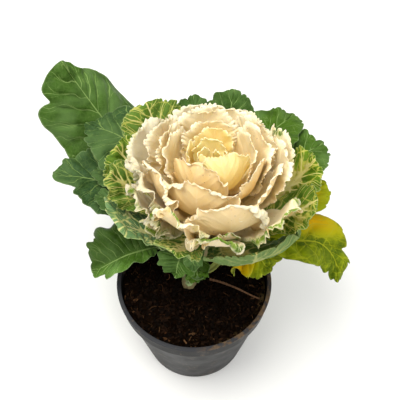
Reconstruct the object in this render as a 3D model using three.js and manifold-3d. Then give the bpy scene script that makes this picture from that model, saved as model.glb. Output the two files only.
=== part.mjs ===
// Ornamental kale in its nursery pot, in millimetres, +Z up.
// The origin is the middle of the pot's underside. The plant stands on a bare woody stem and
// carries a cream head over a collar of variegated and green leaves.

import * as THREE from "three";
import { mergeVertices } from "three/addons/utils/BufferGeometryUtils.js";
import Module from "manifold-3d";

const wasm = await Module();
wasm.setup();

// ---- driving dimensions -------------------------------------------------------------------

const gap = 0.3; // clearance between pieces that touch

const potHeight = 93;
const rimRadius = 60;
const rimWidth = 3.2;
const rimThickness = 1.6;
const collarHeight = 14;
const collarStep = 1.8;
const collarRadius = 58.6;
const footRadius = 43;
const footChamfer = 1.2;
const lipRound = 0.4;
const shoulder = 1; // height of the step under the collar
const wallThickness = 1.4;
const floorThickness = 2.4;
const potSides = 36;
const drainHoles = { count: 8, ring: 30, radius: 3, sides: 10 };
const footGroove = { width: 4, depth: 0.9, inner: 16 };

const soilTop = 84.5;
const soilRelief = 0.8;
const soilShoulder = 3; // depth below the collar's foot where the soil meets the slimmer wall
const soilRings = [0.22, 0.42, 0.62, 0.8, 0.93, 1];
const soilSides = 30;

const stemFoot = new THREE.Vector2(-4, 1); // where the stem enters the soil
const headCentre = new THREE.Vector2(13, 22); // axis of the head
const stemBuried = 22;
const stemTop = 187.2;
const headStart = 138; // height at which the stem has reached the head's axis
const stemSides = 12;
const stemRing = 11; // height between the rings of its skin
const stemGirth = [
  [soilTop - stemBuried, 4.6],
  [soilTop, 5.6],
  [112, 6.6],
  [136, 7.6],
  [150, 7.4],
  [168, 4.6],
  [184, 2.8],
  [stemTop, 2.6],
];

const bladeEdge = 0.7; // thickness of a blade at its margin
const rimHeight = 217; // the crown of the head's dome
const crownRadius = 20;
const domeFall = 0.0105; // drop of the rims per squared millimetre beyond the crown
const headFeet = { top: 196, fall: 0.75 }; // the wider a cup, the lower its foot on the stem

// ---- materials ----------------------------------------------------------------------------

function finish(color, roughness) {
  return new THREE.MeshStandardMaterial({ color, roughness, metalness: 0, side: THREE.FrontSide });
}

const materials = {
  pot: finish(0x3b3f43, 0.5),
  soil: finish(0x1c120c, 0.95),
  bark: finish(0x8a5a3c, 0.85),
  stalk: finish(0x7a5233, 0.8),
  heart: finish(0xf3e39b, 0.5),
  cream: finish(0xf0deb4, 0.55),
  variegated: finish(0x9fb35a, 0.55),
  green: finish(0x46713a, 0.5),
  yellowing: finish(0x9aa52a, 0.5),
};

const part = new THREE.Group();

function addPiece(name, geometry, material) {
  const mesh = new THREE.Mesh(geometry, material);
  mesh.name = name;
  part.add(mesh);
}

// ---- small helpers ------------------------------------------------------------------------

const radians = THREE.MathUtils.degToRad;
const mix = THREE.MathUtils.lerp;
const smooth = (value) => THREE.MathUtils.smoothstep(value, 0, 1);

// a repeatable number from 0 to 1 for each pair of a seed and a step
function vary(seed, step) {
  const wave = Math.sin(seed * 12.9898 + step * 78.233) * 43758.5453;
  return wave - Math.floor(wave);
}

// reads a table of [place, value] rows, straight between its rows
function readTable(table, place) {
  for (let row = 1; row < table.length; row += 1) {
    const [start, startValue] = table[row - 1];
    const [end, endValue] = table[row];
    if (place <= end || row === table.length - 1) {
      const share = THREE.MathUtils.clamp((place - start) / (end - start), 0, 1);
      return mix(startValue, endValue, share);
    }
  }
  return table[0][1];
}

function meshFrom(points, faces) {
  const geometry = new THREE.BufferGeometry();
  const values = points.flatMap((point) => [point.x, point.y, point.z]);
  geometry.setAttribute("position", new THREE.Float32BufferAttribute(values, 3));
  geometry.setIndex(faces.flat());
  geometry.computeVertexNormals();
  return geometry;
}

function toSolid(geometry) {
  const bare = geometry.clone();
  bare.deleteAttribute("normal");
  bare.deleteAttribute("uv");
  const merged = mergeVertices(bare, 1e-4);
  const vertProperties = new Float32Array(merged.attributes.position.array);
  const triVerts = new Uint32Array(merged.index.array);
  return new wasm.Manifold(new wasm.Mesh({ numProp: 3, vertProperties, triVerts }));
}

function toGeometry(solid) {
  const mesh = solid.getMesh();
  const geometry = new THREE.BufferGeometry();
  geometry.setAttribute("position", new THREE.Float32BufferAttribute(mesh.vertProperties, 3));
  geometry.setIndex(Array.from(mesh.triVerts));
  return geometry;
}

// a closed skin over a stack of rings with the same number of points, bottom ring first
function skinRings(rings) {
  const sides = rings[0].length;
  const points = rings.flat();
  const faces = [];
  for (let ring = 0; ring + 1 < rings.length; ring += 1) {
    for (let side = 0; side < sides; side += 1) {
      const next = (side + 1) % sides;
      const low = ring * sides;
      const high = low + sides;
      faces.push([low + side, low + next, high + next]);
      faces.push([low + side, high + next, high + side]);
    }
  }
  const middle = (ring) => ring.reduce((sum, point) => sum.add(point), new THREE.Vector3())
    .divideScalar(sides);
  const bottom = points.push(middle(rings[0])) - 1;
  const top = points.push(middle(rings.at(-1))) - 1;
  const last = (rings.length - 1) * sides;
  for (let side = 0; side < sides; side += 1) {
    const next = (side + 1) % sides;
    faces.push([bottom, next, side]);
    faces.push([top, last + side, last + next]);
  }
  return meshFrom(points, faces);
}

// ---- pot ----------------------------------------------------------------------------------

const collarFoot = potHeight - collarHeight;
const shoulderRadius = collarRadius - collarStep;
const innerRadius = collarRadius - wallThickness;

// radius of the pot's inside, at a height
const insideTable = [
  [floorThickness, footRadius - wallThickness],
  [collarFoot, shoulderRadius - wallThickness],
  [collarFoot + collarStep, innerRadius - lipRound],
  [potHeight, rimRadius - rimWidth],
];

function buildPot() {
  const profile = [
    [0, 0],
    [footRadius - footChamfer, 0],
    [footRadius, footChamfer],
    [shoulderRadius, collarFoot],
    [collarRadius, collarFoot + shoulder],
    [collarRadius, potHeight - rimThickness],
    [rimRadius, potHeight - rimThickness + lipRound],
    [rimRadius, potHeight - lipRound],
    [rimRadius - lipRound, potHeight],
    [rimRadius - rimWidth, potHeight],
    ...insideTable.slice(0, 3).reverse().map(([height, radius]) => [radius, height]),
    [0, floorThickness],
  ];
  const outline = profile.map(([radius, height]) => new THREE.Vector2(radius, height));
  const shell = new THREE.LatheGeometry(outline, potSides).rotateX(Math.PI / 2);
  let solid = toSolid(shell);
  for (let hole = 0; hole < drainHoles.count; hole += 1) {
    const turn = (hole / drainHoles.count) * 2 * Math.PI;
    const drill = new THREE.CylinderGeometry(
      drainHoles.radius, drainHoles.radius, 4 * floorThickness, drainHoles.sides);
    drill.rotateX(Math.PI / 2);
    drill.translate(drainHoles.ring * Math.cos(turn), drainHoles.ring * Math.sin(turn), 0);
    solid = solid.subtract(toSolid(drill));
    const groove = new THREE.BoxGeometry(
      footRadius, footGroove.width, 2 * footGroove.depth);
    groove.translate(footGroove.inner + footRadius / 2, 0, 0);
    groove.rotateZ(turn + Math.PI / drainHoles.count);
    solid = solid.subtract(toSolid(groove));
  }
  return toGeometry(solid);
}

addPiece("pot", buildPot(), materials.pot);

// ---- stem ---------------------------------------------------------------------------------

const stemRadius = (height) => readTable(stemGirth, height);

function stemCentre(height) {
  const share = smooth((height - soilTop) / (headStart - soilTop));
  return new THREE.Vector3(
    mix(stemFoot.x, headCentre.x, share), mix(stemFoot.y, headCentre.y, share), height);
}

function buildStem() {
  const heights = [];
  for (let height = soilTop - stemBuried; height < stemTop; height += stemRing) {
    heights.push(height);
  }
  heights.push(stemTop);
  const rings = heights.map((height) => {
    const centre = stemCentre(height);
    const radius = stemRadius(height);
    const ring = [];
    for (let side = 0; side < stemSides; side += 1) {
      const turn = (side / stemSides) * 2 * Math.PI;
      ring.push(new THREE.Vector3(
        centre.x + radius * Math.cos(turn), centre.y + radius * Math.sin(turn), height));
    }
    return ring;
  });
  return skinRings(rings);
}

addPiece("stem", buildStem(), materials.bark);

// ---- soil ---------------------------------------------------------------------------------

const insideRadius = (height) => readTable(insideTable, height);

// lumps and hollows of the surface, flat at the pot's wall
function soilHeight(x, y) {
  const lumps = Math.sin(0.21 * x + 0.6) * Math.cos(0.17 * y - 0.4)
    + 0.6 * Math.sin(0.37 * y + 0.11 * x) + 0.4 * Math.cos(0.43 * x - 0.29 * y);
  return soilTop + soilRelief * lumps;
}

function buildSoil() {
  const foot = floorThickness + gap;
  const ringAt = (radius, height) => {
    const ring = [];
    for (let side = 0; side < soilSides; side += 1) {
      const turn = (side / soilSides) * 2 * Math.PI;
      const x = radius * Math.cos(turn);
      const y = radius * Math.sin(turn);
      ring.push(new THREE.Vector3(x, y, height ?? soilHeight(x, y)));
    }
    return ring;
  };
  const wall = insideRadius(soilTop) - 2 * gap;
  const rings = [ringAt(insideRadius(foot) - 2 * gap, foot)];
  const step = collarFoot - soilShoulder;
  rings.push(ringAt(insideRadius(step) - 2 * gap, step));
  for (const share of soilRings.toReversed()) {
    rings.push(ringAt(wall * share));
  }
  const lump = toSolid(skinRings(rings));
  const depth = 1.5 * stemBuried;
  const hole = new THREE.CylinderGeometry(
    stemRadius(soilTop) + 3 * gap, stemRadius(soilTop - stemBuried) + 3 * gap, depth, stemSides);
  hole.rotateX(Math.PI / 2);
  hole.translate(stemFoot.x, stemFoot.y, soilTop - stemBuried - gap + depth / 2);
  return toGeometry(lump.subtract(toSolid(hole)));
}

addPiece("soil", buildSoil(), materials.soil);

// ---- dry stalk lying on the soil -------------------------------------------------------------

const stalkRadius = 1;
// place on the soil and how far the stalk arches off it there
const stalkRoute = [
  [12, 3, 0.2],
  [22, 0, 0.4],
  [33, -6, 0.8],
  [42, -11, 0.5],
  [50, -16, 0.9],
];

function buildStalk() {
  const lift = stalkRadius + gap;
  const route = new THREE.CatmullRomCurve3(stalkRoute.map(([x, y, rise]) =>
    new THREE.Vector3(x, y, soilHeight(x, y) + lift + rise)));
  const section = new THREE.Shape().absarc(0, 0, stalkRadius, 0, 2 * Math.PI);
  return new THREE.ExtrudeGeometry(section, { steps: 10, curveSegments: 4, extrudePath: route });
}

addPiece("dry_stalk", buildStalk(), materials.stalk);

// ---- leaves -------------------------------------------------------------------------------
// A leaf is a grid of columns that run, like side veins, from the midrib to the margin.
// step counts the columns from 0 at the tip to leaf.columns at the foot, below zero on the
// left, and reach goes from 0 on the midrib to 1 on the margin.

const ribEnd = 0.95; // share of the leaf's length that the midrib reaches
const veinSweep = 1.5; // how fast the side veins' roots run down the midrib
const flare = 1.6; // how soon the foot of the blade widens from the tip's side
const ribTaper = 0.75;
const rowCrowding = 0.85; // under 1 the rows crowd towards the margin
const cupNarrowing = 0.3; // how much a cupped blade draws its margins in

// distance along the midrib and across it for a point of the flat blade
function flatPoint(leaf, step, reach) {
  const turn = Math.min(Math.abs(step) / leaf.bladeColumns, 1);
  const phase = Math.PI * turn;
  const upper = Math.cos(phase) >= 0;
  const power = 2 / leaf.squareness;
  const ahead = Math.abs(Math.cos(phase)) ** power;
  const taper = leaf.point * (1 - leaf.bias * Math.sign(step));
  const aside = Math.sin(phase) ** (upper ? power * taper : power);
  const widest = leaf.stalk + (1 - leaf.stalk) * leaf.widest;
  const waves = 1 + leaf.lobe * waveAt(leaf.seed + 7, step);
  let alongEdge = upper ? widest + (1 - widest) * ahead : mix(widest, leaf.stalk, ahead);
  let alongRib = mix(leaf.stalk, ribEnd, (1 - turn) ** veinSweep);
  if (Math.abs(step) > leaf.bladeColumns) {
    const share = (Math.abs(step) - leaf.bladeColumns) / (leaf.columns - leaf.bladeColumns);
    alongEdge = leaf.stalk * (1 - share);
    alongRib = alongEdge;
  }
  const foot = leaf.foot * smooth(flare * turn);
  const jut = jutAt(leaf, step);
  const acrossEdge = (foot + (leaf.width - foot) * aside * waves) * jut;
  if (Math.abs(step) < leaf.bladeColumns) {
    alongEdge = Math.min(1, widest + (alongEdge - widest) * jut);
  }
  return {
    along: mix(alongRib, alongEdge, reach),
    across: Math.sign(step) * (1 + leaf.lean * Math.sign(step)) * acrossEdge * reach,
  };
}

// how far the margin's own lobes and notches push it from the blade's middle, as a factor.
// Each is given by its step, its height and its breadth in steps.
function jutAt(leaf, step) {
  return leaf.lobes.reduce(
    (sum, [place, height, breadth]) => sum + height * Math.exp(-(((step - place) / breadth) ** 2)), 1);
}

// a run of crests and troughs along the margin, smooth between whole steps
function waveAt(seed, step) {
  const crest = (whole) => (whole % 2 === 0 ? 1 : -1) * mix(0.1, 1.25, vary(seed, whole));
  const low = Math.floor(step);
  return mix(crest(low), crest(low + 1), smooth(step - low));
}

// a head leaf lies on a cup round the head's axis
function cupPoint(leaf, along, across) {
  const theta = leaf.closing * along;
  const out = leaf.footOut + leaf.bulge * Math.sin(theta);
  const turn = leaf.azimuth + leaf.span * across / leaf.width;
  const radius = out * (1 + leaf.skew * across / leaf.width);
  return new THREE.Vector3(
    headCentre.x + radius * Math.cos(turn),
    headCentre.y + radius * Math.sin(turn),
    leaf.footHeight + leaf.climb * (1 - Math.cos(theta)),
  );
}

// an outer leaf follows its midrib's curve, with a cupped, drooping cross-section
function spreadPoint(leaf, along, across) {
  const share = THREE.MathUtils.clamp(along, 0, 1);
  const place = leaf.curve.getPointAt(share);
  const heading = leaf.curve.getTangentAt(share);
  const side = new THREE.Vector3(-heading.y, heading.x, 0).normalize();
  const up = new THREE.Vector3().crossVectors(heading, side);
  const offset = across / leaf.width;
  const lift = leaf.width * (leaf.cup * offset ** 2 - leaf.droop * offset ** 4);
  return place
    .addScaledVector(side, across * (1 - cupNarrowing * leaf.cup ** 2 * offset ** 2))
    .addScaledVector(up, lift);
}

// the way the blade's upper face looks, from a short step along and one across the blade
function facing(leaf, along, across) {
  const stepAlong = 0.01;
  const stepAcross = 0.5;
  const base = Math.min(along, 1 - stepAlong);
  const here = leaf.place(leaf, base, across);
  const ahead = leaf.place(leaf, base + stepAlong, across).sub(here);
  const aside = leaf.place(leaf, base, across + stepAcross).sub(here);
  return ahead.cross(aside).normalize();
}

// a point of the blade's middle sheet, with its ruffle and its rolled lip
function leafPoint(leaf, step, reach) {
  const { along, across } = flatPoint(leaf, step, reach);
  const up = facing(leaf, along, across);
  const fromFoot = 1 - Math.abs(step) / leaf.columns;
  const ruffle = leaf.ruffle * waveAt(leaf.seed, step) * smooth(3 * fromFoot) * reach ** 2;
  const lip = leaf.lip * smooth(2 * fromFoot - 0.5) * Math.max(0, reach - 0.5) ** 2 * 4;
  return leaf.place(leaf, along, across).addScaledVector(up, ruffle - lip);
}

function buildLeaf(leaf) {
  const points = [];
  const ribs = [];
  const index = new Map();
  const at = (step, row) => index.get(row === 0 ? `rib ${Math.abs(step)}` : `${step} ${row}`);
  for (let step = -leaf.columns; step <= leaf.columns; step += 1) {
    for (let row = 0; row <= leaf.rows; row += 1) {
      const key = row === 0 ? `rib ${Math.abs(step)}` : `${step} ${row}`;
      if (!index.has(key)) {
        const reach = (row / leaf.rows) ** rowCrowding;
        const { along } = flatPoint(leaf, step, reach);
        index.set(key, points.length);
        points.push(leafPoint(leaf, step, reach));
        ribs.push(leaf.rib * (1 - ribTaper * along) * (1 - reach) ** 2);
      }
    }
  }
  const faces = [];
  for (let step = -leaf.columns; step < leaf.columns; step += 1) {
    for (let row = 0; row < leaf.rows; row += 1) {
      const corners = [at(step, row), at(step, row + 1), at(step + 1, row + 1), at(step + 1, row)];
      faces.push([corners[0], corners[1], corners[2]]);
      faces.push([corners[0], corners[2], corners[3]]);
    }
  }
  const sheet = meshFrom(points, faces);
  const normals = sheet.attributes.normal;
  const count = points.length;
  const upper = [];
  const lower = [];
  points.forEach((point, place) => {
    const up = new THREE.Vector3().fromBufferAttribute(normals, place);
    upper.push(point.clone().addScaledVector(up, bladeEdge / 2));
    lower.push(point.clone().addScaledVector(up, -bladeEdge / 2 - ribs[place]));
  });
  const outline = [];
  for (let row = 0; row < leaf.rows; row += 1) {
    outline.push(at(-leaf.columns, row));
  }
  for (let step = -leaf.columns; step < leaf.columns; step += 1) {
    outline.push(at(step, leaf.rows));
  }
  for (let row = leaf.rows; row > 0; row -= 1) {
    outline.push(at(leaf.columns, row));
  }
  const shell = faces.map((face) => [...face]);
  faces.forEach(([a, b, c]) => shell.push([a + count, c + count, b + count]));
  outline.forEach((here, place) => {
    const next = outline[(place + 1) % outline.length];
    shell.push([here, here + count, next + count]);
    shell.push([here, next + count, next]);
  });
  return meshFrom([...upper, ...lower], shell);
}

// ---- head leaves: cups ----------------------------------------------------------------------

const cupFootAngle = 0.4; // half the angle in radians that a head leaf's foot takes of the stem
const widestFoot = 0.6; // and at most this share of the blade's width
const wideCup = 34; // radius from which a head leaf gets more columns

const domeHeight = (radius) => rimHeight - domeFall * Math.max(0, radius - crownRadius) ** 2;

// azimuth of the midrib, widest radius of the cup, how far the cup closes and half the
// angle that the blade spans, in degrees. The rim meets the head's dome unless it is given.
function cupLeaf(azimuth, radius, closing, span, options = {}) {
  const theta = radians(closing);
  const footHeight = options.footHeight ?? headFeet.top - headFeet.fall * radius;
  const footOut = options.footOut ?? stemRadius(footHeight) + gap + bladeEdge / 2;
  const bulge = (radius - footOut) / Math.sin(Math.min(theta, Math.PI / 2));
  const rimRadiusHere = footOut + bulge * Math.sin(theta);
  const rim = options.rim ?? domeHeight(rimRadiusHere);
  const climb = (rim - footHeight) / (1 - Math.cos(theta));
  const leaf = {
    place: cupPoint,
    azimuth: radians(azimuth),
    closing: theta,
    footHeight,
    footOut,
    bulge,
    climb,
    span: radians(span),
    width: radians(span) * radius,
    skew: 0,
    squareness: 2.7,
    widest: 0.62,
    stalk: 0,
    foot: radius * Math.min(widestFoot * radians(span), cupFootAngle),
    point: 1,
    bias: 0,
    lean: 0,
    lobe: 0.05,
    lobes: [],
    ruffle: 2,
    lip: 0,
    rib: 0.5,
    columns: radius > wideCup ? 12 : 10,
    rows: 2,
    seed: azimuth + radius,
    ...options,
  };
  leaf.bladeColumns = leaf.columns;
  return buildLeaf(leaf);
}

// azimuth, radius, closing, span, options: the inner leaves first
const creamLeaves = [
  [293, 18.5, 156, 69, { ruffle: 0.5, skew: 0.2, rim: 218.5 }],
  [175, 16.5, 112, 42, { ruffle: 0.7 }],
  [12, 27, 102, 46, { ruffle: 0.8 }],
  [95, 25, 98, 50, { ruffle: 1.0 }],
  [238, 23, 138, 54, { ruffle: 0.8, skew: -0.08 }],
  [328, 32, 102, 34, { ruffle: 1.0 }],
  [165, 30, 94, 42, { ruffle: 1.2 }],
  [20, 36, 92, 43, { ruffle: 1.4 }],
  [252, 35.5, 124, 48, { ruffle: 1.2, skew: 0.02, lip: 1 }],
  [98, 39.5, 82, 42, { ruffle: 1.4 }],
  [331, 42.5, 94, 33, { ruffle: 1.5, lip: 1 }],
  [152, 35, 86, 34, { ruffle: 1.4 }],
  [40, 43.5, 82, 34, { ruffle: 1.4 }],
  [206, 40, 108, 32, { ruffle: 1.4, lip: 1 }],
  [283, 46, 116, 37, { ruffle: 1.6, lip: 2, skew: 0.03, rim: 212 }],
  [80, 49.5, 76, 40, { ruffle: 1.8 }],
  [196, 48, 86, 34, { ruffle: 1.6, lip: 2, skew: -0.06 }],
  [4, 48.5, 80, 34.5, { ruffle: 1.6, lip: 1 }],
  [138, 45.5, 76, 33, { ruffle: 1.8 }],
  [240, 51, 84, 29, { lip: 2, ruffle: 1.8 }],
  [320, 59.5, 74, 25, { lip: 1, ruffle: 1.8, rim: 201 }],
  [272, 57, 75, 24, { lip: 2.5, ruffle: 1.8, point: 1.4, rim: 199.5, skew: 0.06 }],
  [146, 60.5, 68, 28, { lip: 1, ruffle: 2.2, skew: -0.05, footHeight: 148 }],
  [206, 54.5, 74, 24, { lip: 2, ruffle: 2.0, rim: 199, footHeight: 154 }],
  [100, 59.5, 68, 31.5, { ruffle: 2.0 }],
  [22, 56.5, 68, 28, { lip: 1, ruffle: 2.2, skew: 0.06, footHeight: 151.8 }],
  [63, 55.5, 68, 24, { ruffle: 1.8 }],
  [83, 18.5, 104, 45, { ruffle: 0.7 }],
  [211, 52, 66, 11, { rim: 176, footHeight: 143, lip: 2, columns: 8, ruffle: 1.6 }],
  [280, 50, 80, 10, { rim: 194, footHeight: 156.5, lip: 1, columns: 8, ruffle: 1.4 }],
];

creamLeaves.forEach(([azimuth, radius, closing, span, options], place) => {
  const name = `cream_leaf_${String(place + 1).padStart(2, "0")}`;
  addPiece(name, cupLeaf(azimuth, radius, closing, span, options), materials.cream);
});

// the innermost leaves, closed over the growing point and grown together at their feet
const heartCore = { height: 198.5, width: 3.8, reach: 11 };
const heartFoot = { height: 194, out: 1 };
// azimuth, radius, closing, span, height of the rim
const heartLeaves = [
  [95, 12, 128, 72, 214],
  [215, 7.5, 130, 70, 212],
  [330, 6.5, 128, 70, 212.5],
  [60, 6.5, 130, 70, 211],
  [170, 5.5, 132, 75, 210],
];

function buildHeart() {
  const core = new THREE.SphereGeometry(1, 10, 8);
  core.scale(heartCore.width, heartCore.width, heartCore.reach);
  core.translate(headCentre.x, headCentre.y, heartCore.height);
  let solid = toSolid(core);
  for (const [azimuth, radius, closing, span, rim] of heartLeaves) {
    const footHeight = heartFoot.height - radius / 4;
    const shape = { rim, footHeight, footOut: heartFoot.out, columns: 7, ruffle: 0.4 };
    solid = solid.add(toSolid(cupLeaf(azimuth, radius, closing, span, shape)));
  }
  return toGeometry(solid);
}

addPiece("heart", buildHeart(), materials.heart);

// the leaves round the head, lower on the stem than the cream ones
const variegatedLeaves = [
  [301, 54, 104, 40, { rim: 166, footHeight: 132, footOut: 9.8, skew: 0.2, lip: 1 }],
  [349, 71, 62, 19, { rim: 179, footHeight: 140, lip: 1 }],
  [16, 77, 59, 20, { rim: 181, footHeight: 136, lip: 1.5 }],
  [120, 95, 50, 21, { rim: 180, footHeight: 136.5, lip: 2 }],
  [149, 81, 54, 21, { rim: 176, footHeight: 140, lip: 2 }],
  [168, 73, 56, 18.5, { rim: 178, footHeight: 144, lip: 2 }],
  [242, 59, 64, 18, { rim: 179, footHeight: 146, lip: 1 }],
  [198, 68, 60, 28, { rim: 169, footHeight: 133, footOut: 10, skew: -0.18, lip: 2 }],
];

variegatedLeaves.forEach(([azimuth, radius, closing, span, options], place) => {
  const name = `variegated_leaf_${String(place + 1).padStart(2, "0")}`;
  const shape = { ruffle: 1.8, lobe: 0.06, rib: 0.9, ...options };
  addPiece(name, cupLeaf(azimuth, radius, closing, span, shape), materials.variegated);
});

// ---- outer green leaves: spread blades --------------------------------------------------------

const stalkExit = { length: 5, rise: 0.25 }; // the first short stretch away from the stem

// the midrib starts on the stem at a height and azimuth, then runs through points given by
// radius, azimuth and height round the head's axis
function spreadLeaf(name, material, footHeight, azimuth, route, width, options = {}) {
  const turn = radians(azimuth);
  const start = stemCentre(footHeight);
  const out = stemRadius(footHeight) + gap + bladeEdge / 2;
  start.x += out * Math.cos(turn);
  start.y += out * Math.sin(turn);
  const points = [start];
  const away = new THREE.Vector3(Math.cos(turn), Math.sin(turn), stalkExit.rise);
  points.push(start.clone().addScaledVector(away, stalkExit.length));
  for (const [radius, degrees, height] of route) {
    points.push(new THREE.Vector3(
      headCentre.x + radius * Math.cos(radians(degrees)),
      headCentre.y + radius * Math.sin(radians(degrees)),
      height,
    ));
  }
  const curve = new THREE.CatmullRomCurve3(points, false, "centripetal");
  const leaf = {
    place: spreadPoint,
    curve,
    width,
    cup: 0.25,
    droop: 0.15,
    squareness: 2.3,
    widest: 0.45,
    stalk: 0.4,
    foot: 2.6,
    point: 1,
    bias: 0,
    lean: 0,
    lobe: 0.09,
    lobes: [],
    ruffle: 2.4,
    lip: 0,
    rib: 1.6,
    columns: 13,
    rows: 3,
    seed: azimuth,
    ...options,
  };
  leaf.bladeColumns = leaf.columns - 2;
  addPiece(name, buildLeaf(leaf), material);
}

// kind, height and azimuth of the foot, route of the midrib, half the blade's width, options
const greenLeaves = [
  ["green", 104, 132, [[45, 131, 118], [85, 130, 130], [128, 131, 146], [168, 134, 191]], 38,
    { widest: 0.46, point: 1.25, bias: 0.3, cup: -0.4, droop: 0, lean: 0.08, lobe: 0.03,
      lobes: [[-5.2, 0.25, 1.0], [-1.9, -0.12, 0.7], [2.6, -0.12, 0.4], [3.5, 0.08, 0.5]] }],
  ["green", 126, 138, [[50, 136, 141], [95, 134, 155], [130, 139, 156]], 28,
    { point: 1.2, lobe: 0.06,
      lobes: [[-4, 0.1, 0.8], [-1.8, -0.14, 0.6], [1.7, -0.12, 0.5], [5.5, 0.2, 1.2]] }],
  ["green", 118, 148, [[45, 148, 131], [75, 148, 139], [102, 153, 143]], 16,
    { point: 1.3, rows: 2 }],
  ["green", 109, 162, [[45, 158, 121], [90, 154, 136], [128, 161, 146]], 29,
    { point: 1.5, lobe: 0.08, lobes: [[2.3, -0.3, 0.8], [3.8, -0.1, 0.5]] }],
  ["green", 124, 174, [[40, 170, 134], [65, 168, 143], [88, 168, 147]], 13,
    { point: 1.3, rows: 2 }],
  ["green", 102, 190, [[30, 189, 109], [60, 193, 117], [93, 195, 107]], 24,
    { point: 0.9, lobe: 0.07, cup: 0.35, lean: -0.5,
      lobes: [[-4.6, -0.08, 0.4], [-3.7, 0.06, 0.5], [-2.6, -0.07, 0.3], [2, -0.15, 0.6],
              [3.4, 0.1, 0.5], [6, -0.1, 1.5]] }],
  ["green", 114, 238, [[28, 223, 125], [37, 229, 126], [42, 231, 114]], 15.5,
    { lobe: 0.08, lobes: [[2.6, -0.35, 1.3]] }],
  ["green", 97, 258, [[26, 247, 109], [30, 249, 110], [33, 252, 103]], 9, { rows: 2 }],
  ["yellowing", 104, 320, [[22, 325, 116], [40, 329, 120], [52, 326, 112]], 22,
    { lobe: 0.08, lobes: [[-5.5, -0.2, 0.6], [-7.2, 0.2, 0.6]] }],
  ["yellowing", 115, 350,
    [[40, 349, 127], [62, 347, 131], [82, 350, 127], [95, 346, 117], [100, 340, 105]], 18,
    { point: 1.2, stalk: 0.35, cup: 0.1, droop: 0.03, lobe: 0.06,
      lobes: [[-5.3, 0.2, 0.9], [-3.6, -0.25, 0.6], [-1.7, -0.12, 0.5], [1.8, -0.14, 0.9],
              [3.1, -0.2, 0.4], [4, -0.06, 0.5], [5.2, 0.45, 0.8], [6.7, 0.3, 0.6]] }],
  ["yellowing", 118, 15, [[40, 15, 134], [70, 15, 141], [94, 19, 143]], 20, { rows: 2 }],
  ["green", 123, 36, [[40, 36, 139], [75, 36, 152], [106, 33, 158]], 28, {}],
  ["green", 130, 58, [[40, 57, 145], [76, 55, 160], [109, 51, 164]], 22, {}],
  ["green", 112, 80, [[40, 80, 128], [75, 80, 143], [122, 79, 160]], 25, { point: 1.2 }],
  ["green", 119, 98, [[40, 98, 134], [75, 97, 148], [110, 96, 164]], 18, { rows: 2 }],
  ["green", 126, 250, [[20, 246, 139], [31, 248, 145], [37, 249, 140], [39, 250, 130]], 7,
    { columns: 8, foot: 1.2, rib: 0.8, rows: 2 }],
];

greenLeaves.forEach(([kind, footHeight, azimuth, route, width, options], place) => {
  const name = `${kind}_leaf_${String(place + 1).padStart(2, "0")}`;
  spreadLeaf(name, materials[kind], footHeight, azimuth, route, width, options);
});

export default part;
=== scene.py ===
"""Ornamental kale in its nursery pot: the looks, in metres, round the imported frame."""
import math
import random
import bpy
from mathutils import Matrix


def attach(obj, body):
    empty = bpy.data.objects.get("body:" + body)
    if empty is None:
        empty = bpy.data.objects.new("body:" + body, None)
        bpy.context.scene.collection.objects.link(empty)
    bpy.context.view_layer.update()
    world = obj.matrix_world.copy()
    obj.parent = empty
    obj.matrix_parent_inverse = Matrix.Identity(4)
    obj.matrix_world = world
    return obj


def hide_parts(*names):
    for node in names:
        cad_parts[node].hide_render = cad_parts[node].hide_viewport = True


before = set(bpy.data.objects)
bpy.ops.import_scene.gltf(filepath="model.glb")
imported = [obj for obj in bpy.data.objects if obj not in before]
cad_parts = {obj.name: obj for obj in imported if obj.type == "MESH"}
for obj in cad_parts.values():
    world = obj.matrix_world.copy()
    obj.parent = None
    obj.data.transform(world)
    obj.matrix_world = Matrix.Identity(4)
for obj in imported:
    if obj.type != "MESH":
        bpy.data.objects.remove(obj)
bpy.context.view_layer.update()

from types import SimpleNamespace

import bpy
import numpy as np
from mathutils import Vector

MM = 0.001

# ---- sizes of the plant and its pot, in millimetres ----

GAP = 0.3  # between pieces that touch

POT_HEIGHT = 93.0
RIM_RADIUS = 60.0
RIM_WIDTH = 3.2
RIM_THICKNESS = 1.6
COLLAR_HEIGHT = 14.0
COLLAR_STEP = 1.8
COLLAR_RADIUS = 58.6
FOOT_RADIUS = 43.0
WALL = 1.4
FLOOR = 2.4
DRAIN_COUNT = 8
DRAIN_RING = 30.0
DRAIN_RADIUS = 3.0
GROOVE_WIDTH = 4.0
GROOVE_DEPTH = 0.9
GROOVE_INNER = 16.0

SOIL_TOP = 84.5
SOIL_RELIEF = 0.8

STEM_FOOT = (-4.0, 1.0)
STEM_BURIED = 22.0
STEM_TOP = 187.2
STEM_GIRTH = [(62.5, 4.6), (84.5, 5.6), (112, 6.6), (136, 7.6), (150, 7.4), (168, 4.6),
              (184, 2.8), (187.2, 2.6)]  # height and radius

HEAD_CENTRE = (13.0, 22.0)
HEAD_START = 138.0
RIM_HEIGHT = 217.0  # of the inner leaves; it falls away from the crown as a dome
CROWN_RADIUS = 20.0
DOME_FALL = 0.0105
HEAD_FEET_TOP = 196.0
HEAD_FEET_FALL = 0.75
BLADE_EDGE = 0.7  # thickness of a blade beside its midrib

# ---- small helpers ----


def mix(a, b, t):
    return a + (b - a) * t


def smooth(value):
    value = np.clip(value, 0, 1)
    return value * value * (3 - 2 * value)


def bell(value, width):
    """Falls smoothly from 1 at zero to nearly nothing at twice the width."""
    return np.exp(-(value / width) ** 2)


def vary(seed, step):
    """A repeatable value from 0 to 1 for each seed and step."""
    wave = np.sin(seed * 12.9898 + step * 78.233) * 43758.5453
    return wave - np.floor(wave)


def crest(seed, whole):
    sign = np.where(np.mod(whole, 2) == 0, 1.0, -1.0)
    return sign * mix(0.1, 1.25, vary(seed, whole))


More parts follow.
